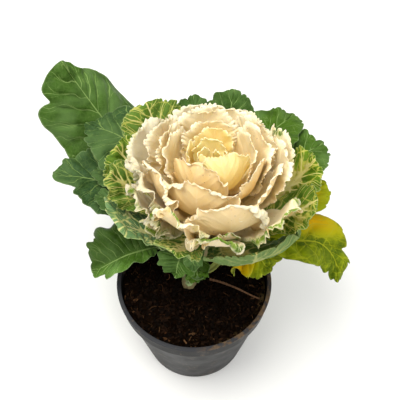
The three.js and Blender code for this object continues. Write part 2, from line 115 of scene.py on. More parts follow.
def wave_at(seed, step):
    """Crests and troughs along a margin, smooth between whole steps."""
    low = np.floor(step)
    return mix(crest(seed, low), crest(seed, low + 1), smooth(step - low))


def ripple(seed, a, b, scale):
    """Soft repeatable noise from -1 to 1 over the plane of a and b."""
    draw = np.random.default_rng(int(seed * 7) + 11)
    headings, shifts = draw.uniform(0, 2 * math.pi, (2, 5))
    total = 0.0
    for k, (heading, shift) in enumerate(zip(headings, shifts)):
        run = a / scale * math.cos(heading) + b / scale * math.sin(heading)
        total = total + np.sin(run * (1 + 0.37 * k) + shift)
    return total / 2.6


def lattice(seed, a, b, scale):
    """Value noise from 0 to 1 over the plane of a and b, with cells of the given size."""
    a, b = np.asarray(a) / scale, np.asarray(b) / scale
    i, j = np.floor(a), np.floor(b)
    u, v = smooth(a - i), smooth(b - j)

    def row(up):
        return mix(vary(seed + 0.37 * (j + up), i), vary(seed + 0.37 * (j + up), i + 1), u)

    return mix(row(0), row(1), v)


def stem_radius(height):
    heights, radii = zip(*STEM_GIRTH)
    return float(np.interp(height, heights, radii))


def stem_centre(height):
    share = smooth((height - SOIL_TOP) / (HEAD_START - SOIL_TOP))
    x, y = mix(np.array(STEM_FOOT), np.array(HEAD_CENTRE), share)
    return np.array([x, y, height])


def beside_stem(height):
    """How far a leaf's foot lies from the middle of the stem."""
    return stem_radius(height) + GAP + BLADE_EDGE / 2


def around(centre, radius, turn, height):
    """A point at an angle round an upright axis."""
    return (centre[0] + radius * math.cos(turn), centre[1] + radius * math.sin(turn), height)


def turned(x, y, angle):
    return (x * math.cos(angle) - y * math.sin(angle), x * math.sin(angle) + y * math.cos(angle))


def ring(radius, height, sides, centre=(0.0, 0.0)):
    turns = np.linspace(0, 2 * math.pi, sides, endpoint=False)
    return [around(centre, radius, turn, height) for turn in turns]


def band_faces(sides, rings, start=0):
    """Faces between stacked rings of points."""
    faces = []
    for low in range(start, start + (rings - 1) * sides, sides):
        for side in range(sides):
            after = (side + 1) % sides
            faces.append([low + side, low + after, low + sides + after, low + sides + side])
    return faces


def column_faces(sides, rings):
    """Faces of a closed column of stacked rings."""
    last = (rings - 1) * sides
    ends = [list(range(sides))[::-1], list(range(last, last + sides))]
    return ends + band_faces(sides, rings)


def join(parts):
    """One set of points and faces from several."""
    points, faces = [], []
    for more_points, more_faces in parts:
        base = len(points)
        points += list(more_points)
        faces += [[base + corner for corner in face] for face in more_faces]
    return points, faces


def add_object(name, data):
    made = bpy.data.objects.new(name, data)
    bpy.context.scene.collection.objects.link(made)
    return made


def new_mesh(name, points, faces):
    """A mesh from points in millimetres."""
    mesh = bpy.data.meshes.new(name)
    mesh.from_pydata((np.asarray(points, dtype=float) * MM).tolist(), [], faces)
    return mesh


def add_piece(name, points, faces, material, slot, node=None, attributes=None, flat=False):
    """Adds a piece of the object, which rides on its one body."""
    mesh = new_mesh(name, points, faces)
    for key, values in (attributes or {}).items():
        layer = mesh.attributes.new(key, "FLOAT_VECTOR", "POINT")
        layer.data.foreach_set("vector", np.asarray(values, dtype=np.float32).ravel())
    mesh.polygons.foreach_set("use_smooth", [not flat] * len(mesh.polygons))
    mesh.materials.append(material)
    mesh.update()
    piece = add_object(name, mesh)
    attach(piece, "root")
    if node:
        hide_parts(node)
    return piece


# ---- materials ----


def rgb(code):
    """A colour written as a web code, as linear light."""
    parts = [int(code[i:i + 2], 16) / 255 for i in (0, 2, 4)]
    return (*(c / 12.92 if c <= 0.04045 else ((c + 0.055) / 1.055) ** 2.4 for c in parts), 1.0)


class Shader:
    """A material with short calls for its nodes. Numbers, web colours and sockets can be mixed."""

    def __init__(self, name):
        self.material = bpy.data.materials.new(name)
        self.material.use_nodes = True
        self.tree = self.material.node_tree
        self.tree.nodes.clear()
        self.surface = self.tree.nodes.new("ShaderNodeBsdfPrincipled")
        output = self.tree.nodes.new("ShaderNodeOutputMaterial")
        self.feed(output.inputs["Surface"], self.surface.outputs[0])

    def feed(self, socket, value):
        if isinstance(value, bpy.types.NodeSocket):
            self.tree.links.new(value, socket)
        else:
            socket.default_value = rgb(value) if isinstance(value, str) else value

    def node(self, kind, inputs, **settings):
        """Adds a node, its inputs given by name or number, and gives its outputs."""
        made = self.tree.nodes.new("ShaderNode" + kind)
        for key, value in settings.items():
            setattr(made, key, value)
        for key, value in inputs.items():
            self.feed(made.inputs[key], value)
        return made.outputs

    def place(self):
        """Where a point lies, in metres."""
        return self.node("TexCoord", {})["Object"]

    def attribute(self, name):
        return self.node("Attribute", {}, attribute_name=name)["Vector"]

    def parts(self, vector):
        return self.node("SeparateXYZ", {0: vector})

    def math(self, operation, *values):
        return self.node("Math", dict(enumerate(values)), operation=operation)[0]

    def times(self, first, second):
        return self.math("MULTIPLY", first, second)

    def scaled(self, value, factor, added):
        """The value times the factor, plus what is added."""
        return self.math("MULTIPLY_ADD", value, factor, added)

    def larger(self, first, second):
        return self.math("MAXIMUM", first, second)

    def away(self, value, middle=0.0):
        """How far a value lies from the middle."""
        return self.math("ABSOLUTE", self.math("SUBTRACT", value, middle))

    def step(self, value, low, high, out_low=0.0, out_high=1.0):
        inputs = dict(enumerate((value, low, high, out_low, out_high)))
        return self.node("MapRange", inputs, interpolation_type="SMOOTHSTEP")[0]

    def blend(self, share, first, second):
        """Mixes two colours, which are the node's inputs 6 and 7."""
        return self.node("Mix", {0: share, 6: first, 7: second}, data_type="RGBA")[2]

    def layers(self, colour, *layers):
        """Lays further colours over the first, each with its share."""
        for share, above in layers:
            colour = self.blend(share, colour, above)
        return colour

    def stretch(self, place, factors):
        return self.node("VectorMath", {0: place, 1: factors}, operation="MULTIPLY")[0]

    def noise(self, place, scale, detail=3.0, rough=0.55, out=0):
        inputs = {"Vector": place, "Scale": scale, "Detail": detail, "Roughness": rough}
        return self.node("TexNoise", inputs)[out]

    def cells(self, place, scale):
        """Distance to the nearest edge between cells."""
        inputs = {"Vector": place, "Scale": scale}
        return self.node("TexVoronoi", inputs, feature="DISTANCE_TO_EDGE")["Distance"]

    def warp(self, place, scale, amount):
        """Shifts a place by noise, so that lines through it wander."""
        shift = self.noise(place, scale, 1.0, 0.5, "Color")
        inputs = {0: shift, 1: (amount,) * 3, 2: place}
        return self.node("VectorMath", inputs, operation="MULTIPLY_ADD")[0]

    def bump(self, height, strength, distance):
        inputs = {"Strength": strength, "Distance": distance, "Height": height}
        self.feed(self.surface.inputs["Normal"], self.node("Bump", inputs)[0])

    def finish(self, colour, roughness, **sockets):
        for key, value in {"Base Color": colour, "Roughness": roughness, **sockets}.items():
            self.feed(self.surface.inputs[key.replace("_", " ")], value)
        return self.material


def leaf_material(name, look):
    """One leaf: blade, veins, green panels, margin and underside.

    blade holds (across mm, along mm, seed), vein (step, reach, along), tone (green,
    warmth partly painted as shade, hue) and face (underside, brightness by chance and painted
    light and shade, stalk).
    """
    shader = Shader(name)
    look = SimpleNamespace(**look)
    place = shader.attribute("blade")
    across = shader.parts(place)[0]
    step, reach, along = shader.parts(shader.attribute("vein"))
    green, warm_and_painted_shade, hue = shader.parts(shader.attribute("tone"))
    under, chance, stalk = shader.parts(shader.attribute("face"))
    soft = shader.noise(place, 0.09)
    fine = shader.noise(place, 0.5)

    # veins: the midrib, side veins on whole steps, forks between them, and a fine net
    wander = shader.scaled(shader.noise(place, 0.06, 1.0), look.wander, step)
    aside = shader.away(shader.math("FRACT", wander), 0.5)
    width = shader.scaled(reach, -0.75 * look.vein, look.vein)
    from_fork = shader.away(aside, shader.step(reach, 0.3, 1.1, 0.0, 0.33))
    fork = shader.step(from_fork, shader.times(width, 0.7), 0.0)
    side = shader.larger(shader.step(aside, width, 0.0), shader.times(fork, 0.8))
    rib_width = shader.scaled(along, -0.75 * look.rib, look.rib)
    rib = shader.step(shader.away(across), rib_width, shader.times(rib_width, 0.4))
    warped = shader.warp(place, 0.12, 3.0)
    net = shader.step(shader.cells(warped, look.net_scale), look.net_width, 0.0)
    fine_net = shader.step(shader.cells(warped, 3.2 * look.net_scale), 0.16, 0.0)
    veins = shader.larger(shader.larger(side, rib), shader.times(net, look.net))

    # warmth deepens the blade and the foot is darker; on cream leaves both are partly painted shade
    # and painted bounced light deep in the head
    blade = shader.layers(
        shader.blend(warm_and_painted_shade, look.light, look.deep),
        (shader.step(soft, 0.35, 0.7, 0.0, look.mottle), look.patch),
        (shader.step(along, 0.55, 0.0, 0.0, look.base), look.foot),
        (shader.times(veins, look.vein_share), look.vein_colour))

    # green panels keep off the veins and fray at their ends
    fray = shader.scaled(shader.math("SUBTRACT", soft, 0.5), 1.3, green)
    fray = shader.scaled(shader.math("SUBTRACT", fine, 0.5), 0.6, fray)
    fray = shader.scaled(veins, -look.vein_bare, fray)
    some = shader.step(green, 0.0, 0.12)
    panel = shader.times(shader.step(fray, 0.32, 0.32 + look.panel_soft), some)
    halo = shader.times(shader.step(fray, 0.05, 0.35, 0.0, look.halo_share), some)
    wide = shader.noise(place, 0.035, 2.0)
    leafy = shader.layers(
        shader.blend(hue, look.green_cool, look.green_warm),
        (shader.step(soft, 0.42, 0.62, 0.0, look.dark_share), look.green_dark),
        (shader.step(wide, 0.4, 0.65, 0.0, look.bloom), look.green_pale),
        (shader.times(fine_net, 0.22), look.green_light))

    # specks gather near the margin
    near_margin = shader.step(reach, 0.75, 1.0)
    rare = shader.scaled(near_margin, 0.04, shader.noise(place, 0.8, 2.0, 0.4))
    colour = shader.layers(
        blade,
        (halo, shader.blend(hue, look.halo_cool, look.halo)),
        (panel, leafy),
        # the pale margin, partly its own colour and partly a painted highlight along the rim
        (shader.step(reach, look.edge_from, 1.0, 0.0, look.edge), look.edge_colour),
        (stalk, look.stalk),
        # the underside's colour; on cream leaves its darker gold is partly painted shade on faces
        # turned down
        (shader.times(under, look.under), look.under_colour),
        (shader.step(rare, 0.72, 0.75, 0.0, look.specks), "4a3418"))
    # brightness by chance, with painted light and painted shade on some leaves
    brightness = shader.scaled(chance, 0.14, 0.93)
    colour = shader.node("HueSaturation", {"Value": brightness, "Color": colour})[0]

    relief = shader.scaled(fine_net, -0.25, shader.times(veins, look.emboss))
    relief = shader.scaled(shader.noise(place, 1.6, 2.0), 0.25, relief)
    shader.bump(relief, 0.5, 0.35 * MM)
    shader.surface.subsurface_method = "RANDOM_WALK"
    return shader.finish(
        colour, shader.step(fine, 0.3, 0.8, look.rough - 0.06, look.rough + 0.08),
        Subsurface_Weight=look.glow, Subsurface_Radius=look.glow_radius, Subsurface_Scale=1.6 * MM,
        Specular_IOR_Level=look.shine)


# light to deep, patch and foot colour the blade; on cream leaves deep and foot are partly painted
# shade and painted bounced light deep in the head. vein, rib and net_width are widths of lines, net
# is the strength of the fine ones, and vein_bare how far green keeps off them. halo borders the
# green. edge and under are how much margin and underside take their own colours; the pale margin
# is partly a painted highlight on the rim, and the cream underside's darker gold is partly painted
# shade. glow is how much light passes through.
BASE_LOOK = dict(
    light="f2eacb", deep="f7d68a", patch="f5edd2", mottle=0.4, foot="d4a052", base=0.4,
    vein=0.09, wander=1.0, rib=1.3, net=0.35, net_scale=0.16, net_width=0.08,
    vein_share=0.3, vein_colour="f4ecd0", vein_bare=0.5, emboss=-0.4,
    halo="c3c36a", halo_cool="a3ab74", halo_share=0.6, panel_soft=0.3,
    green_cool="5c7d2e", green_warm="7a921c", green_dark="3f5c1a", dark_share=0.75,
    green_pale="7f9a50", bloom=0.2, green_light="a9bf6c",
    edge_from=0.9, edge=0.5, edge_colour="f3e4c8", stalk="b9bf8a",
    under=0.45, under_colour="dfb263", specks=0.6,
    rough=0.65, shine=0.1, glow=0.22, glow_radius=(1.0, 0.75, 0.35))
HEART_LOOK = dict(
    BASE_LOOK, light="f6e8ac", deep="f4d37c", patch="f8ecc0", foot="e4b85c",
    vein_share=0.12, emboss=-0.15, edge_colour="f8eccb",
    under=0.5, under_colour="f0d896", specks=0.08, glow=0.35)
VARIEGATED_LOOK = dict(
    BASE_LOOK, light="c4bd66", deep="bcae50", foot="b5a155",
    vein=0.22, wander=1.6, rib=3.6, net=0.62, net_scale=0.09, net_width=0.11,
    vein_share=0.7, vein_colour="d2cd82", vein_bare=0.95, emboss=-0.5,
    halo="a0a425", halo_cool="8f9f62", halo_share=0.85, panel_soft=0.36,
    green_cool="5b7c52", green_warm="5a7a04", green_dark="3a5a0c", green_light="7a9226",
    edge_from=0.96, edge=0.3, edge_colour="bcc584",
    under=0.6, under_colour="748a55", specks=0.5,
    shine=0.08, glow=0.08, glow_radius=(0.7, 0.8, 0.2))
GLAUCOUS_LOOK = dict(
    VARIEGATED_LOOK, vein=0.09, net=1.0, net_scale=0.11, net_width=0.17,
    vein_share=0.8, vein_colour="c8ca92", vein_bare=1.0, halo_cool="8aa052",
    green_cool="62845a", green_dark="4c6c42", dark_share=0.5, green_light="7f9a60",
    under=0.35, under_colour="809a6a")
OUTER_LOOK = dict(
    BASE_LOOK, net=0.5, emboss=-0.5, halo_share=0.0, edge_from=0.965, rough=0.5, shine=0.06)
GREEN_LOOK = dict(
    OUTER_LOOK, light="34501a", deep="44601c", patch="40582a", mottle=0.6, foot="607a34", base=0.35,
    vein=0.11, wander=1.2, rib=2.0, net_scale=0.1, net_width=0.09,
    vein_share=0.75, vein_colour="86a05c", vein_bare=0.75,
    green_cool="35502f", green_warm="44640e", green_dark="22380a", dark_share=0.5,
    green_pale="5f7d44", bloom=0.55, green_light="587438",
    edge=0.4, edge_colour="8ca070", stalk="9bac7a", under=0.8, under_colour="66804e",
    specks=0.25, glow=0.04, glow_radius=(0.5, 0.8, 0.15))
YELLOWING_LOOK = dict(
    OUTER_LOOK, light="8e9c10", deep="e4ac06", patch="a39a0a", mottle=0.3, foot="7f8a24", base=0.3,
    vein=0.07, rib=1.6, net_scale=0.11, net_width=0.07,
    vein_share=0.6, vein_colour="a2a42e", panel_soft=0.6,
    green_cool="3c5612", green_warm="687a0a", green_dark="3c5208",
    green_pale="8a9620", bloom=0.4, green_light="7f901c",
    edge=0.3, edge_colour="9fa048", stalk="9ba258", under=0.7, under_colour="728038",
    specks=0.5, glow=0.06, glow_radius=(0.6, 0.8, 0.15))

cream = leaf_material("cream_leaf", BASE_LOOK)
heart = leaf_material("heart_leaf", HEART_LOOK)
variegated = leaf_material("variegated_leaf", VARIEGATED_LOOK)
glaucous = leaf_material("glaucous_leaf", GLAUCOUS_LOOK)
green = leaf_material("green_leaf", GREEN_LOOK)
yellowing = leaf_material("yellowing_leaf", YELLOWING_LOOK)

# ---- the form of a leaf ----

# A leaf is a grid of steps along its margin, from one foot over the tip to the other, and of
# reach, from 0 at the midrib to 1 at the margin. Each kind of unevenness has its own seed.
SWELL_SEED = 1
BUNCH_SEED = 2
TOOTH_SEED = 3
CURL_SEED = 6
LOBE_SEED = 7
PACE_SEED = 9
WIDE_SEED = 31
TIGHT_SEED = 41
FINE_SEED = 51
RIB_GROOVE_WIDTH = 1.3
PROBE_ALONG = 0.01  # share of the midrib
PROBE_ACROSS = 0.5


def margin(leaf, step):
    """The margin: along it, where its side vein leaves the midrib, and across, in millimetres."""
    past_blade = np.abs(step) - leaf.blade_columns
    turn = np.minimum(np.abs(step) / leaf.blade_columns, 1)
    cosine = np.cos(math.pi * turn)
    upper = cosine >= 0
    power = 2 / leaf.squareness
    ahead = np.abs(cosine) ** power
    taper = leaf.point * (1 - leaf.bias * np.sign(step))
    aside = np.maximum(np.sin(math.pi * turn), 0) ** np.where(upper, power * taper, power)
    along_edge = np.where(upper, mix(leaf.widest, 1, ahead), mix(leaf.widest, leaf.stalk, ahead))
    along_rib = mix(leaf.stalk, 0.95, (1 - turn) ** 1.5)
    down_stalk = leaf.stalk * (1 - past_blade / max(leaf.columns - leaf.blade_columns, 1))
    along_edge = np.where(past_blade > 0, down_stalk, along_edge)
    along_rib = np.where(past_blade > 0, along_edge, along_rib)
    jut = 1 + sum(height * bell(step - place, breadth) for place, height, breadth in leaf.lobes)
    jutting = np.minimum(1, mix(leaf.widest, along_edge, jut))
    along_edge = np.where(past_blade < 0, jutting, along_edge)
    foot = leaf.foot * smooth(1.6 * turn)
    waves = 1 + leaf.lobe * wave_at(leaf.seed + LOBE_SEED, step)
    across_edge = (foot + (leaf.width - foot) * aside * waves) * jut
    return along_edge, along_rib, across_edge


def flat_point(leaf, step, reach):
    """Distance along the midrib, as a share, and across it in millimetres."""
    along_edge, along_rib, across_edge = margin(leaf, step)
    on_blade = 1 - np.minimum(np.abs(step) / leaf.blade_columns, 1)
    pace = 2.3 * leaf.pace * step + 1.5 * lattice(leaf.seed + PACE_SEED, step, 0, 2.1)
    notch = (1 - np.abs(np.sin(math.pi * pace))) ** 2 * (0.2 + 1.8 * vary(leaf.seed, np.round(pace)))
    tooth = 2 * lattice(leaf.seed + TOOTH_SEED, step, 0, 0.7) - 1
    toothed = 1 + leaf.teeth * smooth(4 * on_blade) * (tooth - 1.4 * notch) * reach ** 5
    along = mix(along_rib, along_edge, reach)
    on_stalk = np.abs(step) > leaf.blade_columns
    along = np.where(on_stalk, along, mix(leaf.widest, along, toothed))
    side = np.sign(step)
    return along, side * (1 + leaf.lean * side) * across_edge * reach * toothed


def cup_point(leaf, along, across):
    """A point on a bowl round the axis of the head."""
    theta = leaf.closing * along
    turn = leaf.azimuth + leaf.span * across / leaf.width
    radius = (leaf.foot_out + leaf.bulge * np.sin(theta)) * (1 + leaf.skew * across / leaf.width)
    return np.stack([HEAD_CENTRE[0] + radius * np.cos(turn), HEAD_CENTRE[1] + radius * np.sin(turn),
                     leaf.foot_height + leaf.climb * (1 - np.cos(theta))], axis=-1)


def midrib(points, count=600):
    """Evenly spaced places and headings on a centripetal Catmull-Rom curve."""
    points = [np.array(p, dtype=float) for p in points]
    ends = [2 * points[0] - points[1]] + points + [2 * points[-1] - points[-2]]
    places = []
    t = np.linspace(0, 1, 200, endpoint=False)[:, None]
    for p0, p1, p2, p3 in zip(ends, ends[1:], ends[2:], ends[3:]):
        d0, d1, d2 = (np.linalg.norm(b - a) ** 0.5 for a, b in ((p0, p1), (p1, p2), (p2, p3)))
        m1 = ((p1 - p0) / d0 - (p2 - p0) / (d0 + d1) + (p2 - p1) / d1) * d1
        m2 = ((p2 - p1) / d1 - (p3 - p1) / (d1 + d2) + (p3 - p2) / d2) * d1
        places.append(p1 + m1 * t + (-3 * p1 + 3 * p2 - 2 * m1 - m2) * t ** 2
                      + (2 * p1 - 2 * p2 + m1 + m2) * t ** 3)
    places = np.concatenate(places + [points[-1][None, :]])
    length = np.concatenate([[0], np.cumsum(np.linalg.norm(np.diff(places, axis=0), axis=1))])
    places = interpolated(np.linspace(0, length[-1], count), length, places)
    heading = np.gradient(places, axis=0)
    heading /= np.linalg.norm(heading, axis=1, keepdims=True)
    return places, heading, float(length[-1])


def interpolated(at, marks, table):
    """Rows of a table of points, read between the marks."""
    return np.stack([np.interp(at, marks, table[:, k]) for k in range(3)], axis=-1)


def spread_point(leaf, along, across):
    """A point beside the midrib of an outer leaf."""
    places, heading, _ = leaf.curve
    marks = np.arange(len(places))
    at = np.clip(along, 0, 1) * marks[-1]
    place, ahead = interpolated(at, marks, places), interpolated(at, marks, heading)
    side = np.stack([-ahead[..., 1], ahead[..., 0], np.zeros_like(at)], axis=-1)
    side /= np.linalg.norm(side, axis=-1, keepdims=True)
    up = np.cross(ahead, side)
    offset = across / leaf.width
    lift = leaf.width * (leaf.cup * offset ** 2 - leaf.droop * offset ** 4)
    out = across * (1 - 0.3 * leaf.cup ** 2 * offset ** 2)
    return place + side * out[..., None] + up * lift[..., None]


def facing(leaf, along, across):
    """The direction square to the smooth blade."""
    base = np.minimum(along, 1 - PROBE_ALONG)
    here = leaf.place(leaf, base, across)
    ahead = leaf.place(leaf, base + PROBE_ALONG, across) - here
    aside = leaf.place(leaf, base, across + PROBE_ACROSS) - here
    normal = np.cross(ahead, aside)
    return normal / np.linalg.norm(normal, axis=-1, keepdims=True)


def frills(leaf, step, reach):
    """Folds of the margin in three sizes. The tight ones come in bunches."""
    bunched = smooth(2.2 * lattice(leaf.seed + BUNCH_SEED, step, 0, 2.3) - 0.8)
    pace = leaf.pace * step + 1.3 * lattice(leaf.seed + PACE_SEED, step, 0, 2.1)
    wide = wave_at(leaf.seed + WIDE_SEED, 0.9 * pace + 0.2 * np.sin(9 * reach))
    tight = wave_at(leaf.seed + TIGHT_SEED, 2.9 * pace + 0.5 * np.sin(7 * reach))
    fine = wave_at(leaf.seed + FINE_SEED, 7.3 * pace)

    def outside(start):
        return np.maximum(0, (reach - start) / (1 - start)) ** 2

    return ((1 - 0.4 * bunched) * wide * outside(0.3)
            + (0.15 + 0.55 * bunched) * tight * outside(0.5) + 0.14 * fine * outside(0.8))


def leaf_sheet(leaf, step, reach):
    """Places of the blade's middle sheet, with its ruffles, lip, frills, blisters and groove."""
    along, across = flat_point(leaf, step, reach)
    up = facing(leaf, along, across)
    flat = along * leaf.length
    from_foot = 1 - np.abs(step) / leaf.columns
    on_leaf, on_blade = smooth(3 * from_foot), smooth(4 * from_foot)
    between_veins = 1 - np.abs(np.cos(math.pi * step)) ** 6
    height = leaf.ruffle * wave_at(leaf.seed, step) * on_leaf * reach ** 2
    height -= leaf.lip * smooth(2 * from_foot - 0.5) * np.maximum(0, reach - 0.5) ** 2 * 4
    height += leaf.frill * on_leaf * frills(leaf, step, reach)
    height += leaf.puff * between_veins * smooth(3 * reach) * smooth(3 * (1 - reach)) * on_blade
    height += leaf.crinkle * ripple(leaf.seed, across, flat, 2.6) * smooth(4 * reach)
    swelling = ripple(leaf.seed + SWELL_SEED, across, flat, 9)
    height += leaf.swell * swelling * smooth(2 * reach) * on_blade
    height -= leaf.groove * bell(across, RIB_GROOVE_WIDTH) * (1 - 0.7 * along)
    sheet = leaf.place(leaf, along, across) + up * height[..., None]
    uneven = 0.2 + 1.1 * smooth(2.4 * lattice(leaf.seed + CURL_SEED, step, 0, 1.5) - 0.7)
    near_margin = smooth((reach - leaf.curl_from) / (1 - leaf.curl_from))
    return curled(sheet, up, leaf.curl * uneven * on_leaf * near_margin), along, across


def curled(sheet, up, turn):
    """Rolls the margin outwards by bending each strip from the midrib, its length unchanged."""
    strip = np.diff(sheet, axis=1)
    length = np.maximum(np.linalg.norm(strip, axis=-1, keepdims=True), 1e-6)
    ahead = strip / length
    away = up[:, 1:] - np.sum(up[:, 1:] * ahead, axis=-1, keepdims=True) * ahead
    away /= np.maximum(np.linalg.norm(away, axis=-1, keepdims=True), 1e-6)
    bend = turn[:, 1:, None]
    moved = sheet.copy()
    moved[:, 1:] += np.cumsum(length * ((np.cos(bend) - 1) * ahead - np.sin(bend) * away), axis=1)
    return moved


def blade_grid(shape, middle):
    """Which points of a grid are used, its quads and the number of each point.

    Both halves of the blade share the points of the midrib.
    """
    index = np.arange(shape[0] * shape[1]).reshape(shape)
    index[:middle, 0] = index[middle + 1:, 0][::-1]
    corners = np.stack([index[:-1, :-1], index[:-1, 1:], index[1:, 1:], index[1:, :-1]], axis=-1)
    used, quads = np.unique(corners, return_inverse=True)
    renumber = np.full(index.size, -1)
    renumber[used] = np.arange(len(used))
    return used, quads.reshape(-1, 4), renumber[index]


def point_normals(points, quads):
    a, b, c, d = (points[quads[:, k]] for k in range(4))
    spread = np.cross(c - a, d - b)
    normal = np.zeros_like(points)
    for k in range(4):
        np.add.at(normal, quads[:, k], spread)
    return normal / np.maximum(np.linalg.norm(normal, axis=1, keepdims=True), 1e-9)


def build_leaf(name, leaf, material, slot, node, fine, rows):
    """A closed blade with ribs below, its grid with fine columns a step and rows a half."""
    middle = leaf.columns * fine
    steps = np.arange(-middle, middle + 1) / fine
    levels = 1 - (1 - np.arange(rows + 1) / rows) ** 1.35
    step, reach = np.meshgrid(steps, levels, indexing="ij")
    sheet, along, across = leaf_sheet(leaf, step, reach)
    used, quads, index = blade_grid(step.shape, middle)
    points = sheet.reshape(-1, 3)[used]
    step, reach, along, across = (grid.reshape(-1)[used] for grid in (step, reach, along, across))

    normal = point_normals(points, quads)
    edge = mix(BLADE_EDGE, leaf.edge, reach)
    ridge = leaf.rib * (1 - 0.75 * along) * bell(across, leaf.rib_width)
    on_vein = np.abs(np.cos(math.pi * step)) ** 14 * (along > leaf.stalk)
    side_rib = 0.3 * leaf.rib * on_vein * (1 - reach) * smooth(3 * reach)
    upper = points + normal * (edge / 2)[:, None]
    lower = points - normal * (edge / 2 + ridge + side_rib)[:, None]
    total = len(points)
    outline = np.concatenate([index[0, :-1], index[:, -1], index[-1, -2:0:-1]]).tolist()
    faces = quads.tolist() + (quads[:, ::-1] + total).tolist()
    for here, after in zip(outline, outline[1:] + outline[:1]):
        faces.append([after, here, here + total, after + total])

    def on_both_faces(*values):
        one = np.stack([np.broadcast_to(value, total) for value in values], axis=-1)
        return np.concatenate([one, one])

    stalk = smooth((leaf.stalk * 1.02 - along) / 0.06) if leaf.stalk else 0.0
    side, amount = leaf.paler_half
    # brightness by chance, with painted light and shade on some leaves and a painted sheen on one half
    brightness_with_painted_light = leaf.chance + amount * smooth(0.5 + 2.5 * side * across / leaf.width)
    face = on_both_faces(0.0, brightness_with_painted_light, stalk)
    face[total:, 0] = leaf.under
    attributes = {
        "blade": on_both_faces(across, along * leaf.length, leaf.seed * 3.7),
        "vein": on_both_faces(step, reach, along),
        "tone": on_both_faces(*leaf.tint(leaf, reach, along, across)),
        "face": face}
    add_piece(name, np.concatenate([upper, lower]), faces, material, slot, node, attributes)


# Heights in millimetres: ruffle, lip, frill, puff, crinkle and swell of the blade, rib and groove
# of the midrib. Shares of the half width: lobe, teeth, cup and droop. curl is in radians, and
# pace is the folds a step. lobes lists single ones as (step, height as a share, breadth in steps).
PLAIN_LEAF = dict(
    point=1.0, bias=0.0, lean=0.0, lobes=[], lip=0.0, curl=0.0, curl_from=0.84, swell=0.5, edge=0.5,
    chance=None, paler_half=(1, 0.0), under=1.0)


def finished_leaf(shape, options, stalk_columns):
    leaf = SimpleNamespace(**{**PLAIN_LEAF, **shape, **options})
    leaf.blade_columns = leaf.columns - stalk_columns
    leaf.widest = mix(leaf.stalk, 1, leaf.widest)
    if leaf.chance is None:
        leaf.chance = float(vary(leaf.seed, 2.0))
    return leaf


def cup_leaf(azimuth, radius, closing, span, foot_height=None, foot_out=None, rim=None, **options):
    """A leaf of the head, on a bowl of the given radius.

    closing is how far the blade goes up and over the bowl, and span how far each half goes
    round it, both in degrees.
    """
    theta, span = math.radians(closing), math.radians(span)
    foot_height = foot_height or HEAD_FEET_TOP - HEAD_FEET_FALL * radius
    foot_out = foot_out or beside_stem(foot_height)
    bulge = (radius - foot_out) / math.sin(min(theta, math.pi / 2))
    rim_radius = foot_out + bulge * math.sin(theta)
    rim = rim or RIM_HEIGHT - DOME_FALL * max(0, rim_radius - CROWN_RADIUS) ** 2
    shape = dict(
        place=cup_point, azimuth=math.radians(azimuth), closing=theta, span=span, radius=radius,
        foot_height=foot_height, foot_out=foot_out, bulge=bulge, skew=0.0,
        climb=(rim - foot_height) / (1 - math.cos(theta)), width=span * radius, length=1.2 * radius,
        foot=radius * min(0.6 * span, 0.4), seed=azimuth + radius, columns=12 if radius > 34 else 10,
        squareness=2.7, widest=0.62, stalk=0.0, lobe=0.05, rib=0.5, rib_width=2.4, groove=0.15,
        puff=0.15, pace=1.0)
    return finished_leaf(shape, options, 0)


def spread_leaf(foot_height, azimuth, route, width, **options):
    """An outer leaf on its stalk. The route of its midrib is (radius, degrees, height)."""
    turn = math.radians(azimuth)
    away = np.array([math.cos(turn), math.sin(turn), 0.25])
    start = stem_centre(foot_height) + beside_stem(foot_height) * away * (1, 1, 0)
    points = [start, start + 5 * away]
    for radius, degrees, height in route:
        points.append(around(HEAD_CENTRE, radius, math.radians(degrees), height))
    curve = midrib(points)
    shape = dict(
        place=spread_point, curve=curve, width=width, length=curve[2], cup=0.25, droop=0.15,
        foot=2.6, seed=azimuth, columns=13, squareness=2.3, widest=0.45, stalk=0.4, lobe=0.09,
        ruffle=2.4, rib=1.6, rib_width=2.0, groove=0.35, teeth=0.03, frill=0.8, puff=1.2,
        crinkle=0.2, pace=0.5)
    return finished_leaf(shape, options, 2)


# ---- the cream leaves and the heart ----

